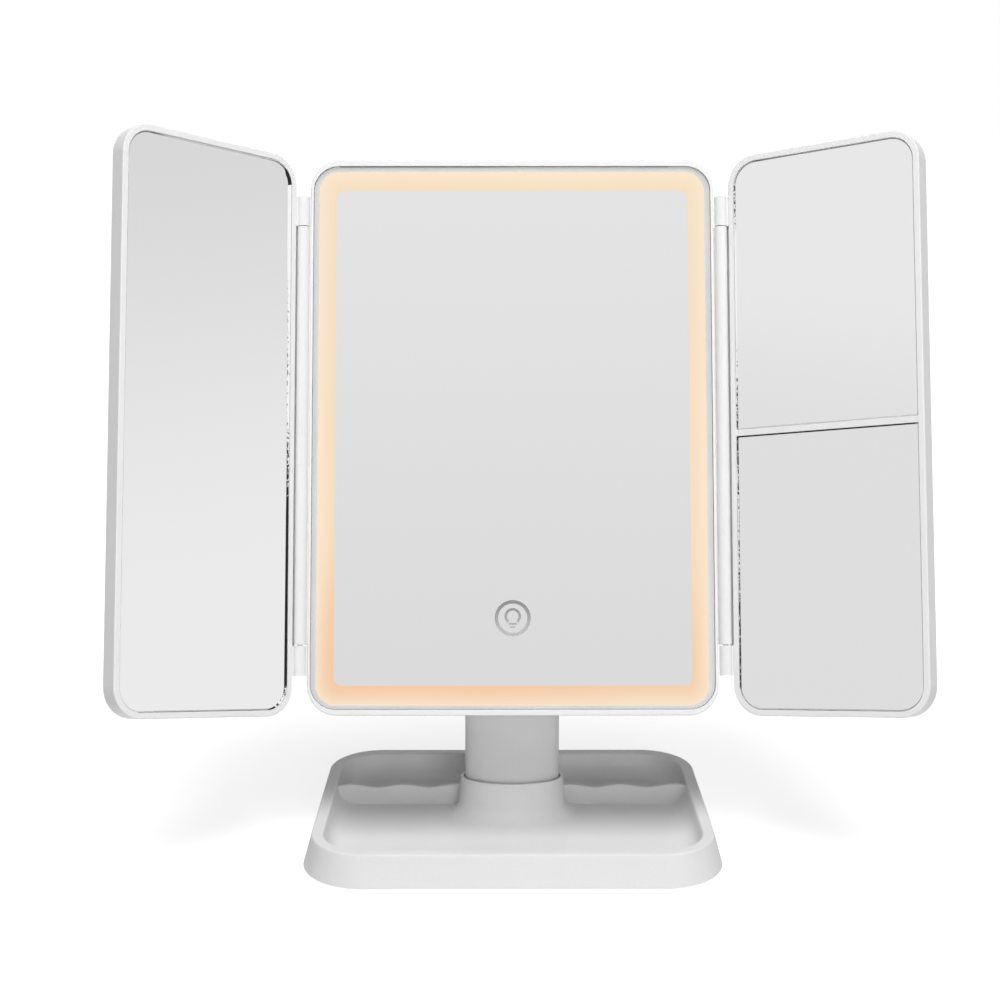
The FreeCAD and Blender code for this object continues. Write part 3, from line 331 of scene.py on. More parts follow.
@dataclass(frozen=True)
class SilveredGlass:
    """Silvered glass with a faint haze, its tone drifting from top to bottom as a painted
    reflection of the room.
    """

    name: str
    # Top and bottom are painted reflection tones, blended between the low and high heights.
    top: Colour = (0.90, 0.90, 0.905)
    bottom: Colour = (0.90, 0.90, 0.905)
    low: float = 0.06
    high: float = 0.30
    roughness: float = 0.02
    haze: float = 60 * MM
    dust: float = 1.2 * MM

    def material(self) -> bpy.types.Material:
        """Build the material.

        Returns:
            The material.
        """
        made, graph = surface(self.name)
        haze = graph.noise(self.haze, 3.0)
        dust = graph.noise(self.dust, 2.0).ramp(0.66, 0.78)
        # Painted reflection: the tone runs from the bottom colour to the top colour with height.
        drift = graph.axis("Z").ramp(self.low, self.high) + haze * 0.06 - 0.03
        finish_principled(graph, {
            "Base Color": graph.mix(drift, rgba(self.bottom), rgba(self.top)),
            "Metallic": 1.0,
            "Roughness": haze * 0.01 + dust * 0.02 + self.roughness,
        })
        return made


@dataclass(frozen=True)
class LitBand:
    """Frosted band of the glass, lit from behind, warmer inwards and towards its foot."""

    name: str
    outer: Colour = (0.872, 0.715, 0.545)
    inner: Colour = (0.845, 0.665, 0.465)
    foot: Colour = (0.83, 0.53, 0.325)
    foot_low: float = 0.07
    foot_high: float = 0.15
    half_width: float = 0.085
    body: Colour = (0.05, 0.045, 0.04)
    drift: float = 70 * MM
    grain: float = 0.3 * MM
    strength: float = 1.0

    def material(self) -> bpy.types.Material:
        """Build the material.

        Returns:
            The material.
        """
        made, graph = surface(self.name)
        across = graph.attribute("across")
        drift = graph.noise(self.drift, 1.0) - 0.5
        glow = graph.mix((across + drift * 0.3).ramp(0.0, 1.0), rgba(self.outer),
                         rgba(self.inner))
        lower = graph.axis("Y").ramp(self.foot_low, self.foot_high, 1.0, 0.12)
        lean = graph.axis("X").ramp(-self.half_width, self.half_width, 1.0, 0.7)
        warm = (across * 0.75 + drift * 0.4 + 0.25) * lower * lean
        glow = graph.mix(warm.ramp(0.0, 1.0), glow, rgba(self.foot))
        grain = graph.noise(self.grain)
        finish_principled(graph, {
            "Base Color": rgba(self.body),
            "Roughness": grain * 0.1 + 0.5,
            "Emission Color": glow,
            "Emission Strength": self.strength,
        })
        return made


@dataclass(frozen=True)
class GlassBorder:
    """Bare border of the glass outside its band, grey with a clear sheen."""

    name: str
    colour: Colour = (0.65, 0.65, 0.65)
    pale: Colour = (0.74, 0.74, 0.75)
    cloud: float = 25 * MM

    def material(self) -> bpy.types.Material:
        """Build the material.

        Returns:
            The material.
        """
        made, graph = surface(self.name)
        across = graph.attribute("across")
        cloud = graph.noise(self.cloud, 2.0) - 0.5
        finish_principled(graph, {
            "Base Color": graph.mix((across + cloud).ramp(0.2, 1.0), rgba(self.colour),
                                    rgba(self.pale)),
            "Metallic": 0.6,
            "Roughness": cloud * 0.06 + 0.22,
        })
        return made


@dataclass(frozen=True)
class GroundEdge:
    """Ground edge of a mirror: a bright painted glint on its bevel, broken by black painted shade.

    Its tone attribute runs from 0, the bright painted glint, to 1, all black painted shade, on to
    2, an even dull grey of painted shade, and to 3, pale and matt.
    """

    name: str
    # The bright colour is a painted glint; black and dull are painted shade; pale is pale and matt.
    bright: Colour = (0.98, 0.98, 0.98)
    black: Colour = (0.012, 0.012, 0.014)
    dull: Colour = (0.60, 0.60, 0.61)
    pale: Colour = (0.86, 0.86, 0.87)
    speck: float = 1.0 * MM

    def material(self) -> bpy.types.Material:
        """Build the material.

        Returns:
            The material.
        """
        made, graph = surface(self.name)
        glint_shade = graph.attribute("glint_shade")
        specks = graph.noise(self.speck, 3.0, 0.65)
        # Black painted shade, broken by specks, over the bright painted glint.
        black = (glint_shade - specks).ramp(-0.02, 0.05)
        shade_tone = graph.mix((glint_shade - 1.0).ramp(0.0, 1.0), rgba(self.black), rgba(self.dull))
        shade_tone = graph.mix((glint_shade - 2.0).ramp(0.0, 1.0), shade_tone, rgba(self.pale))
        finish_principled(graph, {
            "Base Color": graph.mix(black, rgba(self.bright), shade_tone),
            "Metallic": black.ramp(0.0, 1.0, 0.9, 0.0),
            "Roughness": black * 0.3 + 0.16,
            "Specular IOR Level": 0.15,
        })
        return made


@dataclass(frozen=True)
class EtchedSign:
    """Touch sign etched through the silvering, greyer towards its top."""

    name: str
    top: Colour = (0.27, 0.27, 0.28)
    bottom: Colour = (0.52, 0.52, 0.53)
    low: float = 0.0
    high: float = 1.0
    grain: float = 0.2 * MM

    def material(self) -> bpy.types.Material:
        """Build the material.

        Returns:
            The material.
        """
        made, graph = surface(self.name)
        height = graph.axis("Y").ramp(self.low, self.high)
        grain = graph.noise(self.grain)
        finish_principled(graph, {
            "Base Color": graph.mix(height, rgba(self.bottom), rgba(self.top)),
            "Roughness": grain * 0.1 + 0.5,
        })
        return made


@dataclass(frozen=True)
class PlatedMetal:
    """Plated steel with fine turning marks."""

    name: str
    colour: Colour = (0.62, 0.62, 0.63)
    roughness: float = 0.28
    mark: float = 0.15 * MM
    mark_depth: float = 0.004 * MM
    stain: float = 4 * MM

    def material(self) -> bpy.types.Material:
        """Build the material.

        Returns:
            The material.
        """
        made, graph = surface(self.name)
        marks = graph.noise(self.mark, 3.0)
        stain = graph.noise(self.stain)
        dark = tuple(channel * 0.8 for channel in self.colour)
        finish_principled(graph, {
            "Base Color": graph.mix(stain.ramp(0.3, 0.7), rgba(dark), rgba(self.colour)),
            "Metallic": 1.0,
            "Roughness": marks * 0.15 + stain * 0.08 + self.roughness,
            "Normal": graph.bump(marks, self.mark_depth),
        })
        return made


@dataclass(frozen=True)
class SoftRubber:
    """Moulded rubber or foam with a dusty, open grain."""

    name: str
    colour: Colour
    pore: float = 0.5 * MM
    pore_depth: float = 0.02 * MM

    def material(self) -> bpy.types.Material:
        """Build the material.

        Returns:
            The material.
        """
        made, graph = surface(self.name)
        pores = graph.noise(self.pore, 3.0)
        pale = tuple(min(1.0, channel * 1.15) for channel in self.colour)
        finish_principled(graph, {
            "Base Color": graph.mix(pores.ramp(0.35, 0.7), rgba(self.colour), rgba(pale)),
            "Roughness": pores * 0.1 + 0.75,
            "Normal": graph.bump(pores, self.pore_depth),
        })
        return made


@dataclass(frozen=True)
class PrintedBoard:
    """Lacquered circuit board with tracks under the lacquer."""

    name: str
    lacquer: Colour
    track: Colour
    pitch: float = 1.6 * MM
    track_height: float = 0.03 * MM

    def material(self) -> bpy.types.Material:
        """Build the material.

        Returns:
            The material.
        """
        made, graph = surface(self.name)
        settings = {"feature": "F1", "distance": "MANHATTAN"}
        cells = graph.add("ShaderNodeTexVoronoi", settings,
                          {"Vector": graph.place(), "Scale": 1.0 / self.pitch,
                           "Randomness": 0.6}, "Distance")
        tracks = cells.ramp(0.34, 0.42)
        finish_principled(graph, {
            "Base Color": graph.mix(tracks, rgba(self.lacquer), rgba(self.track)),
            "Roughness": tracks * 0.1 + 0.35,
            "Normal": graph.bump(tracks, self.track_height),
        })
        return made


@dataclass(frozen=True)
class CellJacket:
    """Plain two-tone jacket of battery cells, its second tone above a height."""

    name: str
    jacket: Colour = (0.05, 0.055, 0.065)
    stripe: Colour = (0.55, 0.38, 0.12)
    stripe_height: float = 150 * MM
    stripe_blend: float = 0.5 * MM
    scuff: float = 3 * MM

    def material(self) -> bpy.types.Material:
        """Build the material.

        Returns:
            The material.
        """
        made, graph = surface(self.name)
        scuff = graph.noise(self.scuff, 3.0)
        high = graph.axis("Z").ramp(self.stripe_height, self.stripe_height + self.stripe_blend)
        finish_principled(graph, {
            "Base Color": graph.mix(high, rgba(self.jacket), rgba(self.stripe)),
            "Metallic": 0.3,
            "Roughness": scuff * 0.15 + 0.25,
        })
        return made


# --- Places taken from the frame --------------------------------------------
def joint_named(name: str) -> dict:
    """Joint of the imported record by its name."""
    return next(j for j in frame["joints"] if j["name"] == name)


@dataclass(frozen=True)
class LocalFrame:
    """Right, up and outward axes of a panel, with their origin."""

    right: Vector
    up: Vector
    out: Vector

    def matrix(self) -> Matrix:
        """Matrix from panel to world coordinates."""
        return Matrix((self.right, self.up, self.out)).transposed().to_4x4()

    def places(self, node: str) -> list[Vector]:
        """Corners of a CAD node's mesh along the panel's axes."""
        turned = self.matrix().inverted()
        return [turned @ vertex.co for vertex in frame["nodes"][node].data.vertices]

    def extent(self, node: str) -> tuple[Vector, Vector]:
        """Lowest and highest corner of a CAD node along the panel's axes.

        Args:
            node: The CAD node's name.

        Returns:
            The two corners, in panel coordinates.
        """
        places = self.places(node)
        low = Vector(min(place[i] for place in places) for i in range(3))
        high = Vector(max(place[i] for place in places) for i in range(3))
        return low, high

    def corner_radius(self, node: str) -> float:
        """Radius of a flat glass's rounded corners, from where its head edge ends.

        Args:
            node: The glass's CAD node.

        Returns:
            The radius.
        """
        high = self.extent(node)[1]
        head_edge = [place.x for place in self.places(node) if place.y > high.y - TOUCHING]
        return high.x - max(head_edge)


def head_frame() -> LocalFrame:
    """Axes of the centre panel, from the tilt axis and the wings' hinge axis.

    Returns:
        The panel's axes.
    """
    right = -Vector(joint_named("head_tilt")["axis"])
    up = Vector(joint_named("left_wing_fold")["axis"])
    return LocalFrame(right, up, right.cross(up))


def wing_frame(joint_name: str) -> LocalFrame:
    """Axes of a wing, turned from the centre panel by its stored angle.

    Args:
        joint_name: The wing's hinge.

    Returns:
        The wing's axes.
    """
    joint = joint_named(joint_name)
    panel = head_frame()
    turn = Matrix.Rotation(math.radians(-joint["range_deg"][0]), 3, Vector(joint["axis"]))
    return LocalFrame(turn @ panel.right, panel.up, turn @ panel.out)


# --- Edges of the glasses ---------------------------------------------------
SIDE_STEPS = 60
CORNER_STEPS = 20


@dataclass(frozen=True)
class EdgePoint:
    """Place on a glass's outline and the way inwards from it.

    The stage counts the outline's sides and corners: 0 to 1 along the head, 1 to 2 round the
    corner at the hinge side, 2 to 3 down that side, and so on to 8.
    """

    place: Vector
    inward: Vector
    stage: float


@dataclass(frozen=True)
class EdgeMark:
    """Look of a glass's ground edge at one stage of its outline."""

    stage: float
    width: float
    # Tone of painted glint and shade: 0 the bright glint, 1 black shade, 2 dull grey shade, 3 pale
    # and matt.
    glint_shade: float


def glass_outline(
    low: Vector, high: Vector, radii: tuple[float, ...], flip: float = 1.0
) -> list[EdgePoint]:
    """Points round a glass, from its head towards +X when flip is 1 and -X when it is -1.

    Args:
        low: The glass's lowest corner.
        high: Its highest corner.
        radii: Radius of each of its four corners in that order, 0 for a sharp one.
        flip: 1 or -1.

    Returns:
        The points, in panel coordinates.
    """
    middle = Vector(((low.x + high.x) / 2, (low.y + high.y) / 2))
    half = Vector(((high.x - low.x) / 2, (high.y - low.y) / 2))
    normals = [Vector(way) for way in ((0, 1), (1, 0), (0, -1), (-1, 0))]
    corners = []
    for side, radius in enumerate(radii):
        way = normals[side] + normals[(side + 1) % 4]
        corners.append(Vector((way.x * (half.x - radius), way.y * (half.y - radius))))
    points = []

    def put(place: Vector, inward: Vector, stage: float) -> None:
        """Add a point, mirrored where the glass is."""
        points.append(EdgePoint(Vector((middle.x + flip * place.x, middle.y + place.y)),
                                Vector((flip * inward.x, inward.y)), stage))

    for side, normal in enumerate(normals):
        after = normals[(side + 1) % 4]
        start = corners[side - 1] + radii[side - 1] * normal
        end = corners[side] + radii[side] * normal
        first = 0 if radii[side - 1] else 1
        last = SIDE_STEPS if radii[side] else SIDE_STEPS - 1
        for step in range(first, last + 1):
            put(start.lerp(end, step / SIDE_STEPS), -normal, 2 * side + step / SIDE_STEPS)
        if not radii[side]:
            put(corners[side], -normal - after, 2 * side + 1.5)
            continue
        for step in range(1, CORNER_STEPS):
            angle = math.radians(90 * step / CORNER_STEPS)
            way = normal * math.cos(angle) + after * math.sin(angle)
            put(corners[side] + radii[side] * way, -way, 2 * side + 1 + step / CORNER_STEPS)
    return points


def mark_at(marks: tuple[EdgeMark, ...], stage: float) -> EdgeMark:
    """Look of an edge at a stage, between the marks before and after it.

    Args:
        marks: The edge's marks in order.
        stage: The stage.

    Returns:
        The look there.
    """
    for before, after in zip(marks, marks[1:]):
        if before.stage <= stage <= after.stage:
            share = (stage - before.stage) / (after.stage - before.stage)
            return EdgeMark(stage, before.width + (after.width - before.width) * share,
                            before.glint_shade + (after.glint_shade - before.glint_shade) * share)
    return marks[0] if stage < marks[0].stage else marks[-1]


@dataclass
class EdgeStrip:
    """Thin strip along a glass's edge, which rises like a fillet against the frame.

    Its marks say how wide it is and how its painted glint and shade run. It runs from the first to
    the last of them.
    """

    outline: list[EdgePoint]
    marks: tuple[EdgeMark, ...]
    height: float
    rise: float = 0.0
    slope: float = 1.5
    # Lightens the tone up the strip's rising wall, a painted highlight.
    wall_highlight: float = 0.3
    rows: tuple[float, ...] = (0.0, 0.5, 1.0)

    def build(self, name: str) -> bpy.types.Object:
        """Make the strip, with its painted glint and shade as an attribute.

        Args:
            name: The piece's name.

        Returns:
            The piece, in panel coordinates.
        """
        builder = bmesh.new()
        glint_shade = builder.verts.layers.float.new("glint_shade")
        ribs = []
        for point in self.outline:
            if not self.marks[0].stage <= point.stage <= self.marks[-1].stage:
                continue
            mark = mark_at(self.marks, point.stage)
            highest = min(self.rise, mark.width * self.slope)
            rib = []
            for share in self.rows:
                place = point.place + point.inward * mark.width * share
                lift = highest * (1 - share) ** 2
                vertex = builder.verts.new((place.x, place.y, self.height + lift))
                # Painted glint and shade of this point, lightened up the wall.
                vertex[glint_shade] = mark.glint_shade - (1 - mark.glint_shade) * self.wall_highlight * (1 - share)
                rib.append(vertex)
            ribs.append(rib)
        for before, after in zip(ribs, ribs[1:]):
            for row in range(len(self.rows) - 1):
                builder.faces.new((before[row], after[row], after[row + 1], before[row + 1]))
        piece = make_object(name, builder, False)
        piece.data.materials.append(coat(GroundEdge("ground_glass_edge_glint_shade")))
        return piece


# --- Mesh helpers -----------------------------------------------------------
def rounded_rectangle(
    low: Vector, high: Vector, radius: float, steps: int = 12
) -> list[tuple[float, float]]:
    """Points round a rectangle with rounded corners, anticlockwise.

    Args:
        low: Lowest corner.
        high: Highest corner.
        radius: Corner radius.
        steps: Segments in each corner.

    Returns:
        The points.
    """
    centres = ((high[0] - radius, high[1] - radius, 0), (low[0] + radius, high[1] - radius, 90),
               (low[0] + radius, low[1] + radius, 180), (high[0] - radius, low[1] + radius, 270))
    points = []
    for x, y, start in centres:
        for step in range(steps + 1):
            angle = math.radians(start + 90 * step / steps)
            points.append((x + radius * math.cos(angle), y + radius * math.sin(angle)))
    return points


def arc(radius: float, start: float, end: float, steps: int) -> list[tuple[float, float]]:
    """Points along an arc round the origin, angles in degrees."""
    angles = [math.radians(start + (end - start) * i / steps) for i in range(steps + 1)]
    return [(radius * math.cos(a), radius * math.sin(a)) for a in angles]


def make_object(name: str, mesh_builder: bmesh.types.BMesh, smooth: bool) -> bpy.types.Object:
    """Turn a bmesh into an object of the scene.

    Args:
        name: The piece's name.
        mesh_builder: The mesh, which is freed.
        smooth: Shade its faces smooth.

    Returns:
        The object.
    """
    mesh = bpy.data.meshes.new(name)
    bmesh.ops.recalc_face_normals(mesh_builder, faces=mesh_builder.faces)
    for face in mesh_builder.faces:
        face.smooth = smooth
    mesh_builder.to_mesh(mesh)
    mesh_builder.free()
    made = bpy.data.objects.new(name, mesh)
    bpy.context.scene.collection.objects.link(made)
    return made


def stroke(
    builder: bmesh.types.BMesh,
    points: list[tuple[float, float]],
    width: float,
    height: float,
    closed: bool = False,
) -> None:
    """Add a flat raised stroke along a line in the XY plane.

    Args:
        builder: The mesh to add to.
        points: The stroke's centre line.
        width: Width of the stroke.
        height: Its thickness along Z.
        closed: Join the last point to the first.
    """
    count = len(points)
    rings = []
    for index, (x, y) in enumerate(points):
        before = points[index - 1] if index or closed else points[0]
        after = points[(index + 1) % count] if index < count - 1 or closed else points[-1]
        along = Vector((after[0] - before[0], after[1] - before[1])).normalized()
        side = Vector((-along.y, along.x)) * width / 2
        ring = []
        for sign, z in ((-1, 0.0), (1, 0.0), (1, height), (-1, height)):
            ring.append(builder.verts.new((x + sign * side.x, y + sign * side.y, z)))
        rings.append(ring)
    spans = count if closed else count - 1
    for index in range(spans):
        first, second = rings[index], rings[(index + 1) % count]
        for corner in range(4):
            after = (corner + 1) % 4
            builder.faces.new((first[corner], first[after], second[after], second[corner]))
    if not closed:
        builder.faces.new(rings[0])
        builder.faces.new(rings[-1])


def dress(nodes: tuple[str, ...], finish: Finish) -> None:
    """Give CAD nodes a finish.

    Args:
        nodes: The CAD nodes' names.
        finish: Their finish.
    """
    material = coat(finish)
    for node in nodes:
        mesh = frame["nodes"][node].data
        mesh.materials.clear()
        mesh.materials.append(material)
        LOG.info("dressed %s in %s", node, material.name)


# --- Sub-assemblies ---------------------------------------------------------
WHITE_PLASTIC = MouldedPlastic("white_abs", (0.885, 0.885, 0.888), roughness=0.36)
# The tray's white ABS is a shade darker than the head's: painted shade, to darken the tray under
# the head; its grain is a bump of its own.
SHADED_TRAY_PLASTIC = MouldedPlastic("grained_shaded_white_abs", (0.85, 0.85, 0.853), roughness=0.42,
                              grain=0.8 * MM, depth=0.10 * MM)
# The column's white ABS is darker still: painted shade under the head.
SHADED_COLUMN_PLASTIC = MouldedPlastic("shaded_column_abs", (0.79, 0.79, 0.793), roughness=0.36,
                                grain=0.8 * MM, depth=0.15 * MM)
COVER_PLASTIC = MouldedPlastic("cover_abs", (0.70, 0.70, 0.70), roughness=0.5)
NYLON = MouldedPlastic("nylon", (0.74, 0.73, 0.68), roughness=0.45)
ACRYLIC = MouldedPlastic("frosted_acrylic_sheet", (0.9, 0.82, 0.7), roughness=0.5)
CABLE = MouldedPlastic("flat_cable_pvc", (0.72, 0.72, 0.7), roughness=0.35)
STEEL = PlatedMetal("plated_steel")
FOAM = SoftRubber("white_foam", (0.7, 0.7, 0.7))
RUBBER = SoftRubber("grey_rubber", (0.42, 0.42, 0.42), 0.35 * MM)
LED_BOARD = PrintedBoard("lamp_board", (0.80, 0.80, 0.74), (0.62, 0.60, 0.50), 2.4 * MM)
GREEN_BOARD = PrintedBoard("green_board", (0.02, 0.12, 0.05), (0.05, 0.22, 0.10))


@dataclass
class TrayBase:
    """Tray moulding, its cover, feet and column."""

    shell: tuple[str, ...] = ("base_tray",)
    cover: tuple[str, ...] = ("base_cover",)
    feet: tuple[str, ...] = ("rubber_feet",)
    column: tuple[str, ...] = ("column",)
    screws: tuple[str, ...] = ("base_cover_screws", "column_screw")

    def dress(self) -> None:
        """Give every node its finish."""
        dress(self.shell, SHADED_TRAY_PLASTIC)
        dress(self.cover, COVER_PLASTIC)
        dress(self.feet, RUBBER)
        dress(self.column, SHADED_COLUMN_PLASTIC)
        dress(self.screws, STEEL)


@dataclass(frozen=True)
class Inset:
    """Distances of a rectangle from the glass's edges, and its corner radius."""

    left: float = 0.0
    right: float = 0.0
    foot: float = 0.0
    head: float = 0.0
    radius: float = 0.0

    def towards(self, other: "Inset", share: float) -> "Inset":
        """Find the inset part of the way from this one to another.

        Args:
            other: The other inset.
            share: How far towards it, 0 to 1.

        Returns:
            The inset between them.
        """
        return Inset(*(
            getattr(self, name) + (getattr(other, name) - getattr(self, name)) * share
            for name in ("left", "right", "foot", "head", "radius")
        ))


@dataclass(frozen=True)
class CapLine:
    """Short level line under the sign's bulb: half its length, its height and its width."""

    half: float
    height: float
    width: float


@dataclass
class LitPanel:
    """Centre mirror with its lit band and touch sign, and all that the head holds."""

    band_outer: Inset = Inset(2.3 * MM, 2.6 * MM, 1.5 * MM, 2.3 * MM, 8.8 * MM)
    band_inner: Inset = Inset(10.0 * MM, 9.9 * MM, 10.1 * MM, 10.8 * MM, 3.6 * MM)
    rings: int = 6
    proud: float = 0.02 * MM
    # Black painted shadow line along the glass's head, where its recess in the bezel lies in shade.
    edge: tuple[EdgeMark, ...] = (
        EdgeMark(0.0, 0.22 * MM, 1.0), EdgeMark(0.42, 0.22 * MM, 1.0),
        EdgeMark(0.50, 0.10 * MM, 1.0), EdgeMark(0.85, 0.10 * MM, 1.0),
        EdgeMark(0.95, 0.18 * MM, 1.0),
    )
    sign_height: float = 42.0 * MM
    sign_radius: float = 7.1 * MM
    sign_steps: int = 64
    sign_stroke: float = 1.5 * MM
    bulb_radius: float = 3.05 * MM
    bulb_start: float = -52.0
    bulb_end: float = 232.0
    bulb_steps: int = 40
    bulb_stroke: float = 1.1 * MM
    bulb_rise: float = 0.8 * MM
    caps: tuple[CapLine, ...] = (
        CapLine(1.9 * MM, -2.45 * MM, 0.9 * MM), CapLine(1.25 * MM, -3.85 * MM, 0.65 * MM),
    )
    # Painted reflection on the centre mirror, lighter at its head than at its foot.
    painted_reflection_top: Colour = (0.835, 0.835, 0.835)
    painted_reflection_bottom: Colour = (0.762, 0.762, 0.762)

    def build(self) -> None:
        """Make the painted shadow line, the border, the band and the sign on the glass."""
        self.axes = head_frame()
        self.low, self.high = self.axes.extent("centre_mirror")
        self.foot = self.axes.extent("front_bezel")[0].y
        self.corner = self.axes.corner_radius("centre_mirror")
        front = self.high.z + self.proud
        # Painted shadow line along the head of the glass.
        outline = glass_outline(self.low, self.high, (self.corner,) * 4)
        strip = EdgeStrip(outline, self.edge, front + self.proud)
        self._place(strip.build("centre_glass_edge"))
        border = self._ring("glass_border", Inset(radius=self.corner), self.band_outer)
        border.data.materials.append(coat(GlassBorder("bare_glass_border")))
        self._place(border)
        band = self._ring("lit_band", self.band_outer, self.band_inner)
        band.data.materials.append(coat(LitBand("lit_band_glow")))
        self._place(band)
        self._sign()

    def _place(self, piece: bpy.types.Object) -> None:
        """Put a piece made in panel coordinates on the head.

        Args:
            piece: The piece.
        """
        piece.matrix_world = self.axes.matrix()
        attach(piece, "head")
        LOG.info("built %s", piece.name)

    def _ring(self, name: str, outer: Inset, inner: Inset) -> bpy.types.Object:
        """Flat ring on the glass, with each place's share across it as an attribute.

        Args:
            name: The piece's name.
            outer: Its outer edge.
            inner: Its inner edge.

        Returns:
            The piece, in panel coordinates.
        """
        builder = bmesh.new()
        across = builder.verts.layers.float.new("across")
        loops = []
        for ring in range(self.rings + 1):
            share = ring / self.rings
            inset = outer.towards(inner, share)
            low = Vector((self.low.x + inset.left, self.low.y + inset.foot))
            high = Vector((self.high.x - inset.right, self.high.y - inset.head))
            loop = []
            for x, y in rounded_rectangle(low, high, inset.radius):
                vertex = builder.verts.new((x, y, self.high.z + self.proud))
                vertex[across] = share
                loop.append(vertex)
            loops.append(loop)
        for far, near in zip(loops, loops[1:]):
            for index in range(len(far)):
                after = (index + 1) % len(far)
                builder.faces.new((far[index], far[after], near[after], near[index]))
        return make_object(name, builder, False)

    def _sign(self) -> None:
        """Touch sign: a ring with a plain bulb in it."""
        middle = self.foot + self.sign_height
        reach = self.sign_radius
        material = coat(EtchedSign("etched_sign", low=middle - reach, high=middle + reach))
        base = Matrix.Translation((0, middle, self.high.z + self.proud))
        ring = bmesh.new()
        circle = arc(self.sign_radius, 0, 360, self.sign_steps)[:-1]
        stroke(ring, circle, self.sign_stroke, self.proud, closed=True)
        bulb = bmesh.new()
        globe = arc(self.bulb_radius, self.bulb_start, self.bulb_end, self.bulb_steps)
        stroke(bulb, [(x, y + self.bulb_rise) for x, y in globe], self.bulb_stroke, self.proud)
        for cap in self.caps:
            stroke(bulb, [(-cap.half, cap.height), (cap.half, cap.height)], cap.width,
                   self.proud)
        for name, builder in (("touch_ring", ring), ("touch_bulb", bulb)):
            builder.transform(base)
            piece = make_object(name, builder, False)
            piece.data.materials.append(material)
            self._place(piece)

    def dress(self) -> None:
        """Give every node of the head its finish."""
        dress(("front_bezel", "back_shell", "battery_door", "hinge_caps"), WHITE_PLASTIC)
        # Centre glass with its painted reflection tones.
        dress(("centre_mirror",),
              SilveredGlass("centre_glass", self.painted_reflection_top, self.painted_reflection_bottom))
        dress(("mirror_tape",), FOAM)
        dress(("light_diffuser",), ACRYLIC)
        dress(("led_strips",), LED_BOARD)
        dress(("control_board", "charging_board"), GREEN_BOARD)
        dress(("ribbon_cable", "lamp_lead"), CABLE)
        dress(("friction_washers",), NYLON)
        dress(("battery_cells",), CellJacket("cell_jacket_print"))
        dress(("board_screws", "touch_spring", "charging_socket", "spring_contacts",
               "button_contacts", "tilt_bolt", "tilt_nut", "left_hinge_pins",
               "right_hinge_pins"), STEEL)


@dataclass(frozen=True)
class WingGlass:
    """One mirror of a wing, with its painted reflection tones and the painted glint and shade of
    its ground edge.
    """

    node: str
    tape: str
    # Painted reflection tones at the head and foot, blended between the low and high heights.
    top: Colour
    bottom: Colour
    low: float
    high: float
    edge: tuple[EdgeMark, ...]
    sharp_head: bool = False
    sharp_foot: bool = False


@dataclass
class Wing:
    """One wing with its frame, cover and mirrors."""

    side: str
    towards_hinge: float
    glasses: tuple[WingGlass, ...]
    proud: float = 0.02 * MM
    rise: float = 0.6 * MM

    def build(self) -> None:
        """Make the ground edges of its mirrors, with their painted glint and shade."""
        axes = wing_frame(f"{self.side}_wing_fold")
        for glass in self.glasses:
            low, high = axes.extent(glass.node)
            corner = axes.corner_radius(self.glasses[0].node)
            head = 0.0 if glass.sharp_head else corner
            foot = 0.0 if glass.sharp_foot else corner
            outline = glass_outline(low, high, (head, foot, foot, head), self.towards_hinge)
            strip = EdgeStrip(outline, glass.edge, high.z + self.proud, self.rise)
            piece = strip.build(glass.node.replace("mirror", "glass_edge"))
            piece.matrix_world = axes.matrix()
            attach(piece, f"{self.side}_wing")
            LOG.info("built %s", piece.name)

    def dress(self) -> None:
        """Give every node of the wing its finish."""
        dress((f"{self.side}_wing_frame", f"{self.side}_wing_cover"), WHITE_PLASTIC)
        for glass in self.glasses:
            dress((glass.node,), SilveredGlass(f"{glass.node}_silver", glass.top, glass.bottom,
                                               glass.low, glass.high))
            dress((glass.tape,), FOAM)


# Painted reflection on the left mirror, darker at the head than at the foot. Its edge marks paint a
# grey shade line, paler in its middle, along the head, black shade round the hinge-side corner, a
# bright glint broken by black specks down the hinge side and dark grey shade along the foot.
LEFT_GLASS = WingGlass(
    "left_wing_mirror", "left_wing_tape", (0.726,) * 3, (0.893,) * 3, 0.12, 0.33,
    (
        EdgeMark(0.0, 0.03 * MM, 1.8), EdgeMark(0.04, 0.14 * MM, 1.4),
        EdgeMark(0.10, 0.30 * MM, 2.3), EdgeMark(0.14, 0.45 * MM, 2.8),
        EdgeMark(0.9, 0.45 * MM, 2.8), EdgeMark(1.1, 0.30 * MM, 2.4),
        EdgeMark(1.44, 0.10 * MM, 1.5),
        EdgeMark(1.52, 0.5 * MM, 1.0), EdgeMark(1.62, 1.3 * MM, 1.0),
        EdgeMark(1.92, 1.4 * MM, 1.0), EdgeMark(1.97, 1.5 * MM, 0.62),
        EdgeMark(2.0, 1.7 * MM, 0.0), EdgeMark(2.14, 1.6 * MM, 0.22),
        EdgeMark(2.20, 1.3 * MM, 0.40), EdgeMark(2.27, 1.0 * MM, 0.46),
        EdgeMark(2.38, 1.0 * MM, 0.52), EdgeMark(2.46, 1.0 * MM, 0.44),
        EdgeMark(2.50, 0.8 * MM, 0.54), EdgeMark(2.60, 0.8 * MM, 0.66),
        EdgeMark(2.66, 0.9 * MM, 0.85), EdgeMark(2.96, 1.0 * MM, 0.85),
        EdgeMark(3.04, 1.0 * MM, 0.60), EdgeMark(3.30, 0.9 * MM, 0.50),
        EdgeMark(3.70, 0.7 * MM, 0.60), EdgeMark(4.0, 0.12 * MM, 1.4),
        EdgeMark(4.85, 0.10 * MM, 1.4), EdgeMark(5.0, 0.02 * MM, 1.6),
    ),
)
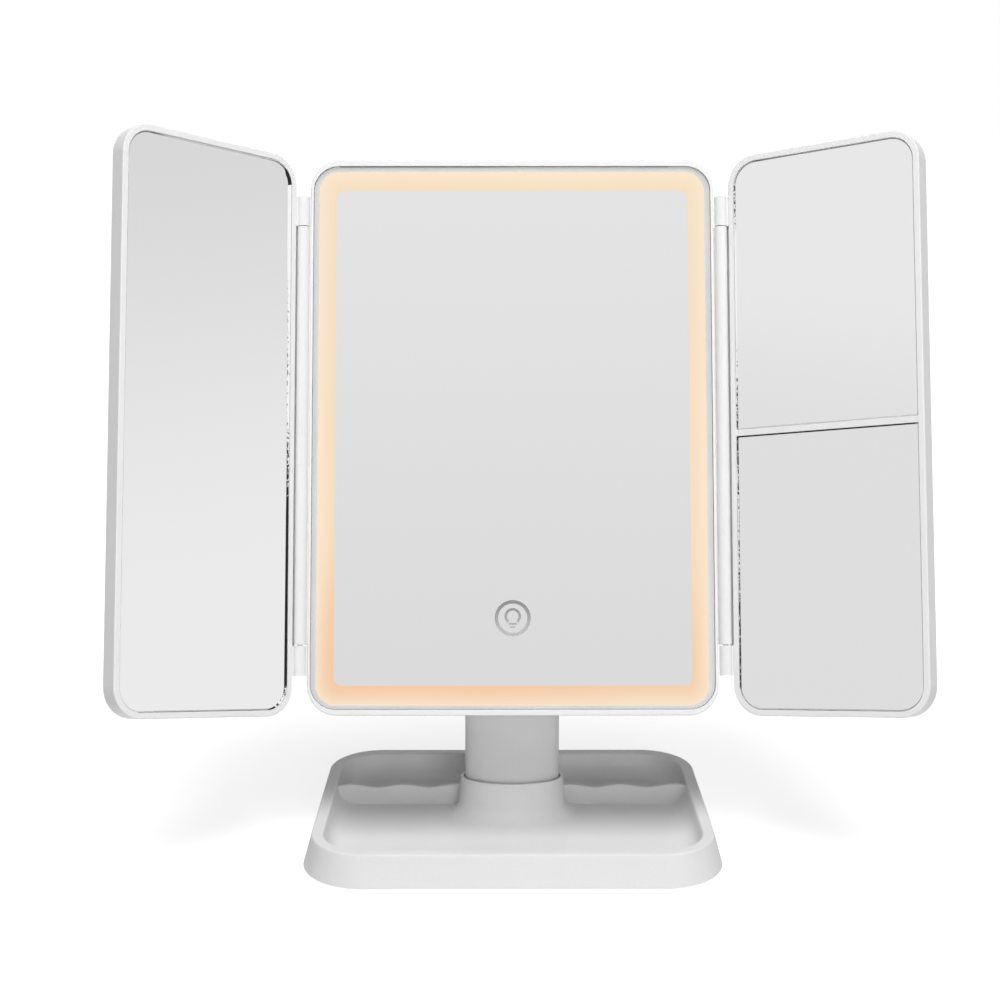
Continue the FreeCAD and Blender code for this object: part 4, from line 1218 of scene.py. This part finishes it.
# Painted reflection on the upper right mirror, lighter at the head than at the foot. Its edge marks
# paint a grey shade line along the head, a bright glint broken by black specks down the hinge side
# and a pale line down the outer side.
UPPER_GLASS = WingGlass(
    "right_upper_mirror", "right_upper_tape", (0.868,) * 3, (0.80,) * 3, 0.18, 0.25,
    (
        EdgeMark(0.0, 0.03 * MM, 1.9), EdgeMark(0.08, 0.10 * MM, 1.8),
        EdgeMark(0.30, 0.08 * MM, 1.8), EdgeMark(0.80, 0.10 * MM, 1.7),
        EdgeMark(0.98, 0.26 * MM, 1.3), EdgeMark(1.15, 0.12 * MM, 1.8),
        EdgeMark(1.6, 0.08 * MM, 1.9), EdgeMark(1.95, 0.08 * MM, 1.8),
        EdgeMark(2.0, 0.45 * MM, 0.60), EdgeMark(2.06, 0.45 * MM, 0.60),
        EdgeMark(2.17, 0.5 * MM, 0.50), EdgeMark(2.22, 0.7 * MM, 0.0),
        EdgeMark(2.60, 0.6 * MM, 0.0), EdgeMark(2.66, 0.5 * MM, 0.46),
        EdgeMark(2.85, 0.5 * MM, 0.56), EdgeMark(3.0, 0.5 * MM, 0.60),
        EdgeMark(3.5, 0.01 * MM, 2.0), EdgeMark(5.5, 0.01 * MM, 2.0),
        EdgeMark(6.0, 0.45 * MM, 2.8), EdgeMark(7.2, 0.45 * MM, 2.8),
        EdgeMark(7.7, 0.20 * MM, 2.3), EdgeMark(8.0, 0.03 * MM, 1.9),
    ),
    sharp_foot=True,
)
# Painted reflection on the lower right mirror, a shade lighter at the head. Its edge marks paint
# black shade along the head, a glint broken by black specks down the hinge side, a thin grey shade
# line along the foot and a pale line down the outer side.
LOWER_GLASS = WingGlass(
    "right_lower_mirror", "right_lower_tape", (0.79,) * 3, (0.78,) * 3, 0.06, 0.18,
    (
        EdgeMark(0.0, 0.35 * MM, 1.0), EdgeMark(1.5, 0.55 * MM, 1.0),
        EdgeMark(2.03, 0.4 * MM, 0.62), EdgeMark(2.30, 0.35 * MM, 0.52),
        EdgeMark(2.60, 0.35 * MM, 0.58), EdgeMark(2.80, 0.4 * MM, 0.66),
        EdgeMark(3.0, 0.35 * MM, 0.66), EdgeMark(3.15, 0.10 * MM, 1.9),
        EdgeMark(4.0, 0.06 * MM, 2.0), EdgeMark(4.9, 0.10 * MM, 1.9),
        EdgeMark(5.2, 0.10 * MM, 2.0), EdgeMark(5.8, 0.45 * MM, 2.8),
        EdgeMark(7.0, 0.45 * MM, 2.8),
    ),
    sharp_head=True,
)


@dataclass(frozen=True)
class Lamp:
    """Square soft lamp: where it hangs, the length of its side and its power in watts."""

    name: str
    place: tuple[float, float, float]
    size: float
    power: float


@dataclass
class Studio:
    """Camera, floor, room and lamps."""

    lens: float = 66.6
    sensor: float = 36.0
    camera_place: tuple[float, float, float] = (-0.0074, -0.7764, 0.3464)
    camera_drop: float = 14.0
    camera_turn: float = 0.14
    floor_size: float = 6.0
    floor_colour: Colour = (0.80, 0.80, 0.80)
    near_glow: float = 0.72
    glow_start: float = 0.15
    glow_end: float = 0.7
    room_front: float = 0.08
    room_back: float = 0.3
    back_start: float = 0.2
    back_end: float = 0.9
    room_in_mirror: float = 0.93
    target: tuple[float, float, float] = (0.0, 0.0, 0.1)
    lamps: tuple[Lamp, ...] = (
        Lamp("key", (0.05, -0.55, 1.53), 0.9, 18.8),
        Lamp("front", (0.35, -1.55, 0.35), 0.8, 6.8),
    )

    def build(self) -> None:
        """Make the whole studio."""
        self._camera()
        self._floor()
        self._world()
        for lamp in self.lamps:
            self._lamp(lamp)

    def _camera(self) -> None:
        """Camera in front of the mirror, a little above it and looking down."""
        data = bpy.data.cameras.new("camera")
        data.lens = self.lens
        data.sensor_width = self.sensor
        camera = bpy.data.objects.new("camera", data)
        camera.location = self.camera_place
        camera.rotation_euler = (math.radians(90 - self.camera_drop), 0,
                                 math.radians(-self.camera_turn))
        bpy.context.scene.collection.objects.link(camera)
        bpy.context.scene.camera = camera

    def _seen(self, graph: Graph, *rays: Ray) -> Value:
        """1 for a ray of one of these kinds, else 0.

        Args:
            graph: The graph to add to.
            rays: The kinds of ray.

        Returns:
            The mask.
        """
        seen = graph.add("ShaderNodeLightPath", output=rays[0].value)
        for ray in rays[1:]:
            seen = seen + graph.add("ShaderNodeLightPath", output=ray.value)
        return seen.at_most(1.0)

    def _floor(self) -> None:
        """Pale floor that keeps the object's shadow, fades to white and is even in mirrors."""
        builder = bmesh.new()
        bmesh.ops.create_grid(builder, x_segments=2, y_segments=2, size=self.floor_size)
        floor = make_object("floor", builder, False)
        material, graph = surface("pale_floor")
        distance = graph.add("ShaderNodeVectorMath", {"operation": "LENGTH"},
                             {0: graph.place()}, "Value")
        glow = distance.ramp(self.glow_start, self.glow_end, self.near_glow, 1.0)
        seen = self._seen(graph, Ray.CAMERA)
        base = graph.add("ShaderNodeBsdfDiffuse", inputs={"Color": rgba(self.floor_colour)})
        light = graph.add("ShaderNodeEmission",
                          inputs={"Color": graph.mix(seen * glow, rgba(BLACK), rgba(WHITE))})
        both = graph.add("ShaderNodeAddShader", inputs={0: base, 1: light})
        even = graph.add("ShaderNodeEmission",
                         inputs={"Color": rgba(WHITE), "Strength": self.room_in_mirror})
        mirrored = self._seen(graph, Ray.GLOSSY, Ray.TRANSMISSION) * (1.0 - seen)
        shown = graph.add("ShaderNodeMixShader", inputs={0: mirrored, 1: both, 2: even})
        graph.add("ShaderNodeOutputMaterial", inputs={"Surface": shown})
        floor.data.materials.append(material)

    def _world(self) -> None:
        """Even pale room: white behind the object, a shade greyer in its mirrors.

        It lights the object weakly, and more from behind than from the front.
        """
        world = bpy.data.worlds.new("room")
        bpy.context.scene.world = world
        world.use_nodes = True
        graph = Graph(world.node_tree)
        direction = graph.add("ShaderNodeTexCoord", output="Generated")
        depth = graph.add("ShaderNodeSeparateXYZ", inputs={0: direction}, output="Y")
        light = depth.ramp(self.back_start, self.back_end, self.room_front, self.room_back)
        white = self._seen(graph, Ray.CAMERA)
        mirrored = self._seen(graph, Ray.GLOSSY, Ray.TRANSMISSION) * (1.0 - white)
        strength = (light * (1.0 - white) * (1.0 - mirrored) + white
                    + mirrored * self.room_in_mirror)
        room = graph.add("ShaderNodeBackground",
                         inputs={"Color": graph.mix(strength, rgba(BLACK), rgba(WHITE))})
        graph.add("ShaderNodeOutputWorld", inputs={"Surface": room})

    def _lamp(self, lamp: Lamp) -> None:
        """Hang a lamp that points at the target and doesn't show in mirrors.

        Args:
            lamp: The lamp.
        """
        data = bpy.data.lights.new(lamp.name, "AREA")
        data.size = lamp.size
        data.energy = lamp.power
        hung = bpy.data.objects.new(lamp.name, data)
        hung.location = lamp.place
        way = Vector(self.target) - Vector(lamp.place)
        hung.rotation_euler = way.to_track_quat("-Z", "Y").to_euler()
        hung.visible_glossy = False
        bpy.context.scene.collection.objects.link(hung)


def main() -> None:
    """Build and dress every sub-assembly in order."""
    logging.basicConfig(level=logging.INFO, format="%(name)s: %(message)s")
    TrayBase().dress()
    panel = LitPanel()
    panel.build()
    panel.dress()
    for wing in (Wing("left", 1.0, (LEFT_GLASS,)), Wing("right", -1.0, (UPPER_GLASS, LOWER_GLASS))):
        wing.build()
        wing.dress()
    Studio().build()
    bpy.context.scene.view_settings.view_transform = "Standard"
    LOG.info("sizes written")


if __name__ == "__main__":
    main()
